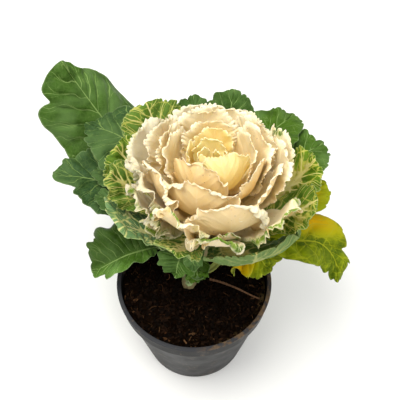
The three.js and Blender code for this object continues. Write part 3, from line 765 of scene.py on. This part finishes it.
# azimuth, radius, closing, span, ruffle and what else is special about each leaf
CREAM = [
    (293, 18.5, 156, 69, 0.5, dict(skew=0.2, rim=218.5)),
    (175, 16.5, 112, 42, 0.7, {}),
    (12, 27, 102, 46, 0.8, {}),
    (95, 25, 98, 50, 1.0, {}),
    (238, 23, 138, 54, 0.8, dict(skew=-0.08)),
    (328, 32, 102, 34, 1.0, {}),
    (165, 30, 94, 42, 1.2, {}),
    (20, 36, 92, 43, 1.4, {}),
    (252, 35.5, 124, 48, 1.2, dict(skew=0.02, lip=1)),
    (98, 39.5, 82, 42, 1.4, {}),
    (331, 42.5, 94, 33, 1.5, dict(lip=1)),
    (152, 35, 86, 34, 1.4, {}),
    (40, 43.5, 82, 34, 1.4, {}),
    (206, 40, 108, 32, 1.4, dict(lip=1)),
    (283, 46, 116, 37, 1.6, dict(lip=2, skew=0.03, rim=212)),
    (80, 49.5, 76, 40, 1.8, {}),
    (196, 48, 86, 34, 1.6, dict(lip=2, skew=-0.06)),
    (4, 48.5, 80, 34.5, 1.6, dict(lip=1)),
    (138, 45.5, 76, 33, 1.8, {}),
    (240, 51, 84, 29, 1.8, dict(lip=2)),
    (320, 59.5, 74, 25, 1.8, dict(lip=1, rim=201)),
    (272, 57, 75, 24, 1.8, dict(lip=2.5, point=1.4, rim=199.5, skew=0.06)),
    (146, 60.5, 68, 28, 2.2, dict(lip=1, skew=-0.05, foot_height=148)),
    (206, 54.5, 74, 24, 2.0, dict(lip=2, rim=199, foot_height=154)),
    (100, 59.5, 68, 31.5, 2.0, {}),
    (22, 56.5, 68, 28, 2.2, dict(lip=1, skew=0.06, foot_height=151.8)),
    (63, 55.5, 68, 24, 1.8, {}),
    (83, 18.5, 104, 45, 0.7, {}),
    (211, 52, 66, 11, 0.8, dict(rim=176, foot_height=143, lip=2, columns=8, pace=0.4)),
    (280, 50, 80, 10, 0.8, dict(rim=194, foot_height=156.5, lip=1, columns=8, pace=0.4))]
# brightness in place of the random one: painted shade, darkening three leaves on the left of the head
PAINTED_SHADE_BRIGHTNESS = {17: -1.2, 24: -1.0, 23: -0.4}
# how much of the underside's darker gold shows, partly its own colour and partly painted shade
PALE_UNDER = {17: 0.6, 22: 0.6, 24: 0.5, 29: 0.1, 30: 0.1}
# how green the margin is
GREEN_TIPS = {17: 0.3, 20: 0.75, 21: 0.85, 22: 0.8, 23: 0.3, 24: 0.8, 26: 0.4, 27: 0.15,
              29: 1.0, 30: 0.8}


def cream_tint(leaf, reach, along, across):
    """Inner leaves are warmer, partly as painted shade deep in the head; the outermost have green at
    the margin.
    """
    depth = np.clip((60 - leaf.radius) / 45, 0, 1)
    warm_and_painted_shade = np.clip(0.15 + 0.75 * depth + 0.35 * (0.7 - along), 0, 1) * (1 - 0.5 * reach ** 4)
    patch = smooth(2.2 * lattice(leaf.seed, across, along * leaf.length, 10) - 0.6)
    near_tip = smooth((reach * (0.4 + 0.6 * along) - 0.5) / 0.4)
    return leaf.tips * near_tip * (0.15 + 1.2 * patch), warm_and_painted_shade, 0.65


def heart_tint(leaf, reach, along, across):
    # warmer towards the middle: partly painted shade deep in the head
    return 0.0, 0.25 - 0.2 * reach ** 2, 0.6


for number, (azimuth, radius, closing, span, ruffle, options) in enumerate(CREAM, 1):
    label = f"cream_leaf_{number:02d}"
    front = 190 < azimuth < 325
    frill, curl, curl_from = (2.9, 2.6, 0.76) if front else (1.2, 1.0, 0.84)
    size = min(1.0, radius / 45) * min(1.0, span / 24)
    inner = radius < 25 and number != 1
    shape = dict(ruffle=ruffle, teeth=0.05, frill=0.5 + frill * size, curl=curl * size,
                 curl_from=curl_from, crinkle=0.15, edge=0.35, pace=0.6 if inner else 1.0)
    shape.update(options)
    leaf = cup_leaf(azimuth, radius, closing, span, tint=cream_tint, tips=GREEN_TIPS.get(number, 0.0),
                    under=PALE_UNDER.get(number, 1.0), chance=PAINTED_SHADE_BRIGHTNESS.get(number), **shape)
    look = cream if radius > 20 else heart
    build_leaf(label + "_fine", leaf, look, "cream_leaf", label, fine=10, rows=14)

# the heart's small leaves: azimuth, radius, closing, span, rim and skew
HEART = [
    (95, 12, 128, 60, 214.5, 0.12),
    (232, 8, 134, 64, 213, -0.1),
    (338, 9.5, 124, 52, 212, 0.15),
    (40, 6.5, 136, 56, 210.5, -0.2),
    (150, 8.5, 120, 48, 211.5, 0.2),
    (285, 4.5, 138, 70, 209, 0.1)]

for number, (azimuth, radius, closing, span, rim, skew) in enumerate(HEART, 1):
    # the heart's leaves are brightened: painted light deep in the head
    leaf = cup_leaf(azimuth, radius, closing, span, rim=rim, skew=skew, foot_height=194 - radius / 4,
                    foot_out=1.0, columns=7, ruffle=0.6, teeth=0.09, frill=0.9, crinkle=0.3,
                    groove=0.05, pace=0.7, chance=1.2, tint=heart_tint)
    build_leaf(f"heart_leaf_{number}", leaf, heart, "heart_leaf", "heart", fine=12, rows=14)

# ---- the variegated leaves ----

# azimuth, radius, closing, span and what else is special about each leaf
VARIEGATED = [
    (301, 54, 104, 40, dict(rim=166, foot_height=132, foot_out=9.8, skew=0.2, lip=1, frill=2.2)),
    (349, 71, 62, 19, dict(rim=179, foot_height=140, lip=1)),
    (16, 77, 59, 20, dict(rim=181, foot_height=136, lip=1.5)),
    (120, 95, 50, 21, dict(rim=180, foot_height=136.5, lip=2)),
    (149, 81, 54, 21, dict(rim=176, foot_height=140, lip=2)),
    (168, 73, 56, 18.5, dict(rim=178, foot_height=144, lip=2)),
    (242, 59, 64, 18, dict(rim=179, foot_height=146, lip=1)),
    (198, 68, 60, 28, dict(rim=169, foot_height=133, foot_out=10, skew=-0.18, lip=2))]
# from blue-green to yellow-green
VARIEGATED_HUE = [0.25, 0.8, 0.95, 0.7, 0.8, 0.6, 0.5, 0.0]
# leaves with a blue bloom and a pale net of veins
GLAUCOUS = (8,)
# how much of each blade stays without green
BARENESS = [0.0, 0.1, 0.12, 0.0, 0.0, 0.05, 0.1, -0.1]


def variegated_tint(leaf, reach, along, across):
    """Cream along the midrib, green panels towards the margin."""
    bare = lattice(leaf.seed + 5, across, along * leaf.length, 11) - 0.5
    greenness = smooth((0.35 * along + 0.65 * reach - 0.12 - leaf.bareness) / 0.4)
    return greenness - leaf.bareness * (0.6 + bare), 0.4, leaf.hue


for number, (azimuth, radius, closing, span, options) in enumerate(VARIEGATED, 1):
    label = f"variegated_leaf_{number:02d}"
    shape = dict(ruffle=1.8, lobe=0.06, rib=0.9, teeth=0.035, frill=1.0, puff=0.9, crinkle=0.2,
                 swell=0.8)
    shape.update(options)
    leaf = cup_leaf(azimuth, radius, closing, span, tint=variegated_tint,
                    hue=VARIEGATED_HUE[number - 1], bareness=BARENESS[number - 1], **shape)
    look = glaucous if number in GLAUCOUS else variegated
    build_leaf(label + "_fine", leaf, look, "variegated_leaf", label, fine=8, rows=20)

# ---- the outer leaves ----

# kind, height and azimuth of the foot, route of the midrib, half width and what else is special
OUTER = [
    ("green", 104, 132, [(45, 131, 118), (85, 130, 130), (128, 131, 146), (168, 134, 191)], 38,
     dict(widest=0.46, point=1.25, bias=0.3, cup=-0.4, droop=0, lean=0.08, lobe=0.03,
          teeth=0.006, frill=1.4, puff=1.8,
          lobes=[[-5.2, 0.25, 1.0], [-1.9, -0.12, 0.7], [2.6, -0.12, 0.4], [3.5, 0.08, 0.5]])),
    ("green", 126, 138, [(50, 136, 141), (95, 134, 155), (130, 139, 156)], 28,
     dict(point=1.2, lobe=0.06,
          lobes=[[-4, 0.1, 0.8], [-1.8, -0.14, 0.6], [1.7, -0.12, 0.5], [5.5, 0.2, 1.2]])),
    ("green", 118, 148, [(45, 148, 131), (75, 148, 139), (102, 153, 143)], 16, dict(point=1.3)),
    ("green", 109, 162, [(45, 158, 121), (90, 154, 136), (128, 161, 146)], 29,
     dict(point=1.5, lobe=0.08, lobes=[[2.3, -0.3, 0.8], [3.8, -0.1, 0.5]])),
    ("green", 124, 174, [(40, 170, 134), (65, 168, 143), (88, 168, 147)], 13, dict(point=1.3)),
    ("green", 102, 190, [(30, 189, 109), (60, 193, 117), (93, 195, 107)], 24,
     dict(point=0.9, lobe=0.07, cup=0.35, lean=-0.5,
          lobes=[[-4.6, -0.08, 0.4], [-3.7, 0.06, 0.5], [-2.6, -0.07, 0.3], [2, -0.15, 0.6],
                 [3.4, 0.1, 0.5], [6, -0.1, 1.5]])),
    ("green", 114, 238, [(28, 223, 125), (37, 229, 126), (42, 231, 114)], 15.5,
     dict(lobe=0.08, lobes=[[2.6, -0.35, 1.3]])),
    ("green", 97, 258, [(26, 247, 109), (30, 249, 110), (33, 252, 103)], 9, {}),
    ("yellowing", 104, 320, [(22, 325, 116), (40, 329, 120), (52, 326, 112)], 22,
     dict(lobe=0.08, lobes=[[-5.5, -0.2, 0.6], [-7.2, 0.2, 0.6]])),
    ("yellowing", 115, 350,
     [(40, 349, 127), (62, 347, 131), (82, 350, 127), (95, 346, 117), (100, 340, 105)], 18,
     dict(point=1.2, stalk=0.35, cup=0.1, droop=0.03, lobe=0.06,
          lobes=[[-5.3, 0.2, 0.9], [-3.6, -0.25, 0.6], [-1.7, -0.12, 0.5], [1.8, -0.14, 0.9],
                 [3.1, -0.2, 0.4], [4, -0.06, 0.5], [5.2, 0.45, 0.8], [6.7, 0.3, 0.6]])),
    ("yellowing", 118, 15, [(40, 15, 134), (70, 15, 141), (94, 19, 143)], 20, {}),
    ("green", 123, 36, [(40, 36, 139), (75, 36, 152), (106, 33, 158)], 28, {}),
    ("green", 130, 58, [(40, 57, 145), (76, 55, 160), (109, 51, 164)], 22, {}),
    ("green", 112, 80, [(40, 80, 128), (75, 80, 143), (122, 79, 160)], 25, dict(point=1.2)),
    ("green", 119, 98, [(40, 98, 134), (75, 97, 148), (110, 96, 164)], 18, {}),
    ("green", 126, 250, [(20, 246, 139), (31, 248, 145), (37, 249, 140), (39, 250, 130)], 7,
     dict(columns=8, foot=1.2, rib=0.8))]
OUTER_HUE = [0.6, 0.1, 0.0, 0.05, 0.2, 0.7, 0.6, 0.9, 0.6, 0.7, 0.9, 0.85, 0.9, 0.5, 0.4, 0.3]
# brightness in place of the random one, partly painted light and shade: leaves 7, 8 and 16
# in the head's shadow are brightened, and leaf 6 is darkened where a variegated leaf shades it
PAINTED_LIGHT_BRIGHTNESS = {1: 0.5, 7: 1.6, 8: 1.4, 16: 2.5, 9: 0.6, 6: -2.4}
# the half of a blade that is paler, left of its midrib or right of it, and by how much: painted
# sheen on leaf 1, and painted shade on the darker half of leaf 6
PAINTED_LIGHT_HALF = {1: (-1, 0.9), 6: (1, 6.0), 7: (1, 2.0)}
# the middle of the yellow patch, along and across the blade as shares, and how green the rest is
YELLOW = {9: (0.7, -0.7, 0.75), 10: (0.63, 1.05, 0.75), 11: (0.8, 0.2, 0.35)}


def outer_tint(leaf, reach, along, across):
    """Green all over, or with a yellow patch."""
    if leaf.yellow is None:
        return 1.0, leaf.hue, leaf.hue
    middle, aside, rest = leaf.yellow
    near = bell(along - middle, 0.12) * bell(across / leaf.width - aside, 0.6)
    patch = lattice(leaf.seed + 4, across, along * leaf.length, 9)
    return rest * (1 - 1.6 * near) + 0.3 * (patch - 0.5), near ** 1.2, leaf.hue


for number, (kind, height, azimuth, route, width, options) in enumerate(OUTER, 1):
    label = f"{kind}_leaf_{number:02d}"
    leaf = spread_leaf(height, azimuth, route, width, tint=outer_tint, hue=OUTER_HUE[number - 1],
                       yellow=YELLOW.get(number), chance=PAINTED_LIGHT_BRIGHTNESS.get(number),
                       paler_half=PAINTED_LIGHT_HALF.get(number, (1, 0.0)), **options)
    look = green if kind == "green" else yellowing
    fine, rows = (12, 30) if width > 30 else (8, 18)
    build_leaf(label + "_fine", leaf, look, f"{kind}_leaf", label, fine, rows)

# ---- pot ----

COLLAR_FOOT = POT_HEIGHT - COLLAR_HEIGHT
SHOULDER_RADIUS = COLLAR_RADIUS - COLLAR_STEP
CAKED_FROM = 0.0905  # height in metres above which compost cakes the rim
POT_SIDES = 144


def caked_side(shader, place):
    """A share that rises to 1 on the side of the pot where dry compost has gathered."""
    east, north, _ = shader.parts(place)
    return shader.step(shader.scaled(north, -0.6, shader.times(east, 0.8)), 0.034, 0.05)


def pot_material():
    shader = Shader("pot_plastic")
    place = shader.place()
    height = shader.parts(place)["Z"]
    low = shader.noise(place, 45.0, 4.0, 0.6)
    grain = shader.noise(place, 900.0, 2.0, 0.6)
    # lighter at the top of the rim: a painted highlight on the lip
    rim_top_painted_highlight = shader.step(height, 0.0915, 0.0932)
    dust = shader.noise(place, 130.0, 5.0, 0.7)
    caked = shader.times(caked_side(shader, place), shader.step(height, CAKED_FROM, 0.092))
    caked = shader.times(caked, shader.step(shader.noise(place, 160.0, 4.0, 0.65), 0.4, 0.55))
    colour = shader.layers(
        "0e0e0f",
        (shader.step(low, 0.35, 0.7, 0.0, 0.6), "191818"),
        (shader.times(rim_top_painted_highlight, 0.7), "34353a"),
        (shader.step(dust, 0.56, 0.72, 0.0, 0.5), "6b5a48"),
        (caked, shader.blend(grain, "3e2e20", "6e5840")))
    shader.bump(grain, 0.25, 0.15 * MM)
    return shader.finish(colour, shader.step(low, 0.3, 0.7, 0.46, 0.6), Specular_IOR_Level=0.24)


def lathe(profile, sides):
    """Points and faces of a closed turned shell. The profile's ends lie on the axis."""
    points = [(0.0, 0.0, profile[0][1])]
    for radius, height in profile[1:-1]:
        points += ring(radius, height, sides)
    points.append((0.0, 0.0, profile[-1][1]))
    rings = len(profile) - 2
    last = 1 + (rings - 1) * sides
    faces = band_faces(sides, rings, start=1)
    for side in range(sides):
        after = (side + 1) % sides
        faces.append([0, 1 + after, 1 + side])
        faces.append([len(points) - 1, last + side, last + after])
    return points, faces


def rounded(profile, corner, steps=4):
    """Rounds the inner corners of a profile by cutting each with a short curve."""
    profile = [np.array(p, dtype=float) for p in profile]
    out = [tuple(profile[0])]
    for before, here, after in zip(profile, profile[1:], profile[2:]):
        a, b = before - here, after - here
        cut = min(corner, 0.45 * np.linalg.norm(a), 0.45 * np.linalg.norm(b))
        start, end = here + a / np.linalg.norm(a) * cut, here + b / np.linalg.norm(b) * cut
        for t in np.linspace(0, 1, steps + 1):
            out.append(tuple((1 - t) ** 2 * start + 2 * t * (1 - t) * here + t ** 2 * end))
    out.append(tuple(profile[-1]))
    return out


def drum(radius, low, high, turn, sides=32):
    """A plain cylinder on the ring of drain holes, to cut with."""
    centre = around((0.0, 0.0), DRAIN_RING, turn, 0.0)
    return ring(radius, low, sides, centre) + ring(radius, high, sides, centre), column_faces(sides, 2)


def bar(length, width, height, inner, turn):
    """A box along a spoke, to cut a groove with."""
    corners = [(inner + x * length, (y - 0.5) * width, (z - 0.5) * height)
               for z in (0, 1) for x, y in ((0, 0), (1, 0), (1, 1), (0, 1))]
    return [(*turned(x, y, turn), z) for x, y, z in corners], column_faces(4, 2)


def cut_away(piece, points, faces):
    """Cuts a closed form out of a piece."""
    cutter = add_object("cutter", new_mesh("cutter", points, faces))
    cut = piece.modifiers.new("cut", "BOOLEAN")
    cut.operation = "DIFFERENCE"
    cut.solver = "EXACT"
    cut.object = cutter
    bpy.context.view_layer.update()
    mesh = bpy.data.meshes.new_from_object(piece.evaluated_get(bpy.context.evaluated_depsgraph_get()))
    piece.modifiers.clear()
    piece.data = mesh
    bpy.data.objects.remove(cutter)


profile = [
    (0, 0), (FOOT_RADIUS - 1.2, 0), (FOOT_RADIUS, 1.2), (SHOULDER_RADIUS, COLLAR_FOOT),
    (COLLAR_RADIUS, COLLAR_FOOT + 1), (COLLAR_RADIUS, POT_HEIGHT - RIM_THICKNESS),
    (RIM_RADIUS, POT_HEIGHT - RIM_THICKNESS + 0.2), (RIM_RADIUS, POT_HEIGHT),
    (RIM_RADIUS - RIM_WIDTH, POT_HEIGHT), (COLLAR_RADIUS - WALL - 0.4, COLLAR_FOOT + COLLAR_STEP),
    (SHOULDER_RADIUS - WALL, COLLAR_FOOT), (FOOT_RADIUS - WALL, FLOOR), (0, FLOOR)]
cuts = []
for k in range(DRAIN_COUNT):
    turn = 2 * math.pi * k / DRAIN_COUNT
    between = turn + math.pi / DRAIN_COUNT
    cuts.append(drum(DRAIN_RADIUS, -1, FLOOR + 1, turn))
    cuts.append(bar(FOOT_RADIUS, GROOVE_WIDTH, 2 * GROOVE_DEPTH, GROOVE_INNER, between))
turned_pot = lathe(rounded(profile, 0.5), POT_SIDES)
pot = add_piece("pot_fine", *turned_pot, pot_material(), "pot_plastic", "pot")
cut_away(pot, *join(cuts))
pot.data.polygons.foreach_set("use_smooth", [True] * len(pot.data.polygons))
pot.data.set_sharp_from_angle(angle=math.radians(32))

# ---- stem ----

SCAR_COUNT = 14
SCAR_START = 88.0
SCAR_SPACING = 4.1
SCAR_TURN = 2.4
SCAR_WIDTH = 2.2
SCAR_HEIGHT = 1.0
SCAR_RISE = 0.45
SCARRED_RADIUS = 6.0
RIDGE_COUNT = 9
RIDGE_RISE = 0.18
RIDGES_TOP = 150.0


def bark_material():
    shader = Shader("stem_bark")
    place = shader.place()
    grain = shader.noise(shader.stretch(place, (1.0, 1.0, 0.25)), 700.0, 4.0, 0.6)
    blotch = shader.step(shader.noise(place, 120.0), 0.4, 0.65, 0.0, 0.7)
    colour = shader.blend(blotch, shader.blend(grain, "6b5a3c", "a39467"), "7c8a52")
    shader.bump(grain, 0.6, 0.4 * MM)
    return shader.finish(colour, 0.75)


def scars(turn, height):
    """Where old leaves have dropped off, in a spiral up the stem."""
    total = 0.0
    for k in range(SCAR_COUNT):
        away = math.remainder(turn - SCAR_TURN * k, 2 * math.pi) * SCARRED_RADIUS
        above = height - SCAR_START - SCAR_SPACING * k
        total += bell(away, SCAR_WIDTH) * bell(above, SCAR_HEIGHT)
    return total


def build_stem(sides=40):
    heights = np.arange(SOIL_TOP - STEM_BURIED, STEM_TOP, 0.8)
    points = []
    for height in heights:
        for turn in np.linspace(0, 2 * math.pi, sides, endpoint=False):
            radius = stem_radius(height) + SCAR_RISE * scars(turn, height)
            ridge = RIDGE_RISE * math.sin(RIDGE_COUNT * turn + 0.2 * height)
            radius += ridge * (height < RIDGES_TOP)
            points.append(around(stem_centre(height), radius, turn, height))
    return points, column_faces(sides, len(heights))


add_piece("stem_fine", *build_stem(), bark_material(), "stem_bark", "stem")

# ---- compost ----

SOIL_GAP = 0.6  # to the pot's wall; the crumbled top comes nearer
SOIL_TOP_GAP = 0.2
CRUMB_COUNT = 3600
CRUMB_SEED = 5
CRUMB_SIDES = 5
CRUMB_REACH = 55.0
CRUMB_CLEARANCE = 7.5  # from the middle of the stem
CRUMBS_TO = 0.72  # shares of all loose pieces: crumbs, then chips, then fibres
CHIPS_TO = 0.88
ROOT_COUNT = 46
ROOT_SEED = 12
ROOT_START_REACH = 50.0
ROOT_REACH = 53.0
ROOT_CLEARANCE = 8.0


def compost_material():
    shader = Shader("compost")
    place = shader.place()
    fine = shader.noise(place, 600.0, 5.0, 0.7)
    wide = shader.noise(place, 90.0)
    # a sandy band along the wall
    flat = shader.stretch(place, (1.0, 1.0, 0.0))
    radius = shader.node("VectorMath", {0: flat}, operation="LENGTH")["Value"]
    sandy = shader.times(caked_side(shader, place), shader.step(radius, 0.05, 0.055))
    sandy = shader.times(sandy, shader.step(wide, 0.35, 0.6))
    colour = shader.layers(
        "060301",
        (shader.step(fine, 0.4, 0.75), "1a0e06"),
        (shader.step(wide, 0.5, 0.75, 0.0, 0.5), "1c1008"),
        (sandy, shader.blend(fine, "2e2014", "75603f")))
    shader.bump(fine, 1.0, 1.2 * MM)
    return shader.finish(colour, 1.0, Specular_IOR_Level=0.02)


def crumb_material():
    """Dark crumbs and paler wood. tone holds (shade, pale, unused)."""
    shader = Shader("compost_crumbs")
    shade, pale, _ = shader.parts(shader.attribute("tone"))
    fine = shader.noise(shader.place(), 900.0, 3.0, 0.6)
    colour = shader.layers(
        "080402",
        (shader.step(shade, 0.4, 0.85), "24150b"),
        (shader.step(shade, 0.8, 1.0), shader.blend(pale, "4a2c17", "7a5a3c")),
        (shader.times(fine, 0.6), "0e0805"))
    shader.bump(fine, 0.6, 0.4 * MM)
    return shader.finish(colour, 0.9, Specular_IOR_Level=0.05)


def soil_height(x, y):
    lumps = (np.sin(0.21 * x + 0.6) * np.cos(0.17 * y - 0.4) + 0.6 * np.sin(0.37 * y + 0.11 * x)
             + 0.4 * np.cos(0.43 * x - 0.29 * y))
    return SOIL_TOP + SOIL_RELIEF * lumps


def crumbled(x, y):
    rough = 2.4 * (lattice(3, x, y, 6.5) - 0.5) + 1.4 * (lattice(5, x, y, 2.6) - 0.5)
    return soil_height(x, y) + rough + 0.7 * (lattice(8, x, y, 1.1) - 0.5)


def inside_radius(height):
    """Radius of the pot's inner wall."""
    return float(np.interp(height, [FLOOR, COLLAR_FOOT, POT_HEIGHT],
                           [FOOT_RADIUS - WALL, SHOULDER_RADIUS - WALL, RIM_RADIUS - RIM_WIDTH]))


def build_soil(sides=220, rings=70):
    """The crumbled top, out from its middle, and the side and underside in the pot."""
    wall = inside_radius(SOIL_TOP) - SOIL_TOP_GAP
    turns = np.linspace(0, 2 * math.pi, sides, endpoint=False)
    points = [(0.0, 0.0, float(crumbled(0.0, 0.0)))]
    for radius in wall * np.arange(1, rings + 1) / rings:
        x, y = radius * np.cos(turns), radius * np.sin(turns)
        points += list(zip(x, y, crumbled(x, y)))
    for height in (COLLAR_FOOT - 3, FLOOR + GAP):
        points += ring(inside_radius(height) - SOIL_GAP, height, sides)
    faces = [face[::-1] for face in band_faces(sides, rings + 2, start=1)]
    faces += [[0, 1 + side, 1 + (side + 1) % sides] for side in range(sides)]
    faces.append(list(range(len(points) - sides, len(points)))[::-1])
    return points, faces


def near_stem(x, y, distance):
    return math.hypot(x - STEM_FOOT[0], y - STEM_FOOT[1]) < distance


def crumb_size(draw, kind):
    """Half the length, width and height of a crumb, a chip or a fibre."""
    if kind < CRUMBS_TO:
        size = draw.uniform(0.7, 1.8) ** 2
        size = size * np.array([1, draw.uniform(0.6, 1), draw.uniform(0.5, 0.9)])
    elif kind < CHIPS_TO:
        size = draw.uniform(0.7, 1.7) * np.array([draw.uniform(2, 4.5), draw.uniform(0.8, 1.6), 0.6])
    else:
        size = np.array([draw.uniform(4, 11), 0.4, 0.35])
    return size / 2


def build_crumbs():
    """Crumbs, chips and short fibres lying in the top of the compost."""
    draw = random.Random(CRUMB_SEED)
    parts, shades = [], []
    for _ in range(CRUMB_COUNT):
        radius = CRUMB_REACH * math.sqrt(draw.random())
        x, y, _ = around((0.0, 0.0), radius, draw.uniform(0, 2 * math.pi), 0.0)
        if near_stem(x, y, CRUMB_CLEARANCE):
            continue
        kind = draw.random()
        size = crumb_size(draw, kind)
        heading, tilt = draw.uniform(0, 2 * math.pi), draw.uniform(-0.5, 0.5)
        z = float(crumbled(x, y)) + 0.25 * size[2] + draw.uniform(-0.1, 0.5)
        corners = []
        for side in range(CRUMB_SIDES):
            turn = 2 * math.pi * side / CRUMB_SIDES
            for level in (-0.75, 0.75):
                jitter = draw.uniform(0.75, 1.2)
                ahead, aside, up = jitter * size * (math.cos(turn), math.sin(turn), level)
                ahead, up = turned(ahead, up, tilt)
                east, north = turned(ahead, aside, heading)
                corners.append((x + east, y + north, z + up))
        parts.append((corners[0::2] + corners[1::2], column_faces(CRUMB_SIDES, 2)))
        shade = draw.random()
        shade = mix(0.5, 1.0, shade) if kind > CRUMBS_TO else 0.85 * shade
        # crumbs darker towards the middle of the pot: painted shade under the head
        shade *= 0.8 + 0.22 * (radius / CRUMB_REACH) ** 2
        shades += [(shade, draw.random(), 0)] * len(corners)
    return *join(parts), {"tone": shades}


def tube(route, radius, sides=10, taper=0.6, count=60):
    """A tapering, slightly knotty tube along a route."""
    places, heading, _ = midrib(route, count)
    points = []
    for k, (place, ahead) in enumerate(zip(places, heading)):
        side = np.cross(ahead, (0, 0, 1))
        side /= np.linalg.norm(side)
        up = np.cross(side, ahead)
        size = radius * mix(1, taper, k / count) * (1 + 0.12 * math.sin(1.7 * k))
        for turn in np.linspace(0, 2 * math.pi, sides, endpoint=False):
            points.append(tuple(place + size * (math.cos(turn) * side + math.sin(turn) * up)))
    return points, column_faces(sides, count)


def root_route(draw, steps=7):
    """A path that wanders over the compost, its ends down in it."""
    radius = ROOT_START_REACH * math.sqrt(draw.random())
    x, y, _ = around((0.0, 0.0), radius, draw.uniform(0, 2 * math.pi), 0.0)
    heading, bend = draw.uniform(0, 2 * math.pi), draw.uniform(-0.5, 0.5)
    stride = draw.uniform(8, 26) / steps
    route = []
    for k in range(steps):
        lift = 0.9 * math.sin(math.pi * k / (steps - 1)) - 0.4
        route.append((x, y, float(crumbled(x, y)) + lift))
        heading += bend + draw.uniform(-0.5, 0.5)
        x, y = x + stride * math.cos(heading), y + stride * math.sin(heading)
    return route


def build_roots():
    """Thin loose roots, clear of the stem and of the wall."""
    draw = random.Random(ROOT_SEED)
    parts, shades = [], []
    while len(parts) < ROOT_COUNT:
        route = root_route(draw)
        if any(near_stem(x, y, ROOT_CLEARANCE) or math.hypot(x, y) > ROOT_REACH
               for x, y, _ in route):
            continue
        root = tube(route, draw.uniform(0.3, 0.55), sides=6, taper=0.4, count=20)
        parts.append(root)
        shades += [(draw.uniform(0.75, 1.0), draw.random(), 0)] * len(root[0])
    return *join(parts), {"tone": shades}


add_piece("soil_fine", *build_soil(), compost_material(), "compost", "soil")
loose = crumb_material()
points, faces, tones = build_crumbs()
add_piece("compost_crumbs", points, faces, loose, "compost", attributes=tones, flat=True)
points, faces, tones = build_roots()
add_piece("loose_roots", points, faces, loose, "compost", attributes=tones)

# ---- dry stalk ----

STALK_RADIUS = 1.0
# x, y and rise off the compost
STALK_ROUTE = [(12, 3, 0.2), (22, 0, 0.4), (33, -6, 0.8), (42, -11, 0.5), (50, -16, 0.9)]


def stalk_material():
    shader = Shader("dry_stalk")
    grain = shader.noise(shader.place(), 500.0, 4.0, 0.6)
    shader.bump(grain, 0.6, 0.3 * MM)
    return shader.finish(shader.blend(grain, "2e1a0e", "7a5330"), 0.8)


route = [(x, y, float(soil_height(x, y)) + STALK_RADIUS + GAP + rise) for x, y, rise in STALK_ROUTE]
add_piece("dry_stalk_fine", *tube(route, STALK_RADIUS), stalk_material(), "dry_stalk", "dry_stalk")

# ---- floor, light and camera ----

FLOOR_HALF = 4000.0
FLOOR_DROP = 0.5
LAMP_TARGET = Vector((0.0, 0.0, 0.12))
CAMERA_PLACE = (0.0, -0.2302, 0.4854)
CAMERA_HEADING = Vector((0.0121, 0.6166, -0.7872))

floor_corners = [(x * FLOOR_HALF, y * FLOOR_HALF, -FLOOR_DROP)
                 for x, y in ((-1, -1), (1, -1), (1, 1), (-1, 1))]
floor = add_object("floor", new_mesh("floor", floor_corners, [[0, 1, 2, 3]]))
floor.data.materials.append(Shader("floor").finish("f6f6f4", 0.9))


def studio_world():
    """Pale surroundings, brighter overhead than at the horizon."""
    world = bpy.data.worlds.new("studio")
    world.use_nodes = True
    nodes, links = world.node_tree.nodes, world.node_tree.links
    background = nodes["Background"]
    background.inputs["Color"].default_value = (1.0, 1.0, 1.0, 1.0)
    direction = nodes.new("ShaderNodeSeparateXYZ")
    level = nodes.new("ShaderNodeMapRange")
    for name, value in (("From Min", 0.0), ("From Max", 0.9), ("To Min", 0.4), ("To Max", 1.0)):
        level.inputs[name].default_value = value
    links.new(nodes.new("ShaderNodeTexCoord").outputs["Generated"], direction.inputs[0])
    links.new(direction.outputs["Z"], level.inputs["Value"])
    links.new(level.outputs[0], background.inputs["Strength"])
    return world


def area_light(name, place, size, power, colour):
    """A round lamp turned towards the middle of the plant."""
    data = bpy.data.lights.new(name, "AREA")
    data.shape = "DISK"
    data.size = size
    data.energy = power
    data.color = colour
    lamp = add_object(name, data)
    lamp.location = place
    lamp.rotation_euler = (LAMP_TARGET - lamp.location).to_track_quat("-Z", "Y").to_euler()


bpy.context.scene.world = studio_world()
area_light("key", (-0.3, -0.02, 1.1), 0.8, 8.5, (1.0, 0.98, 0.93))
area_light("fill", (0.6, -0.7, 0.8), 0.9, 4.0, (1.0, 0.99, 0.97))

camera = bpy.data.cameras.new("camera")
camera.lens = 52.2
camera.sensor_width = 36.0
camera.clip_start = 0.01
viewer = add_object("camera", camera)
viewer.location = CAMERA_PLACE
viewer.rotation_euler = CAMERA_HEADING.to_track_quat("-Z", "Y").to_euler()
bpy.context.scene.camera = viewer
bpy.context.scene.view_settings.view_transform = "Standard"


bpy.context.view_layer.update()
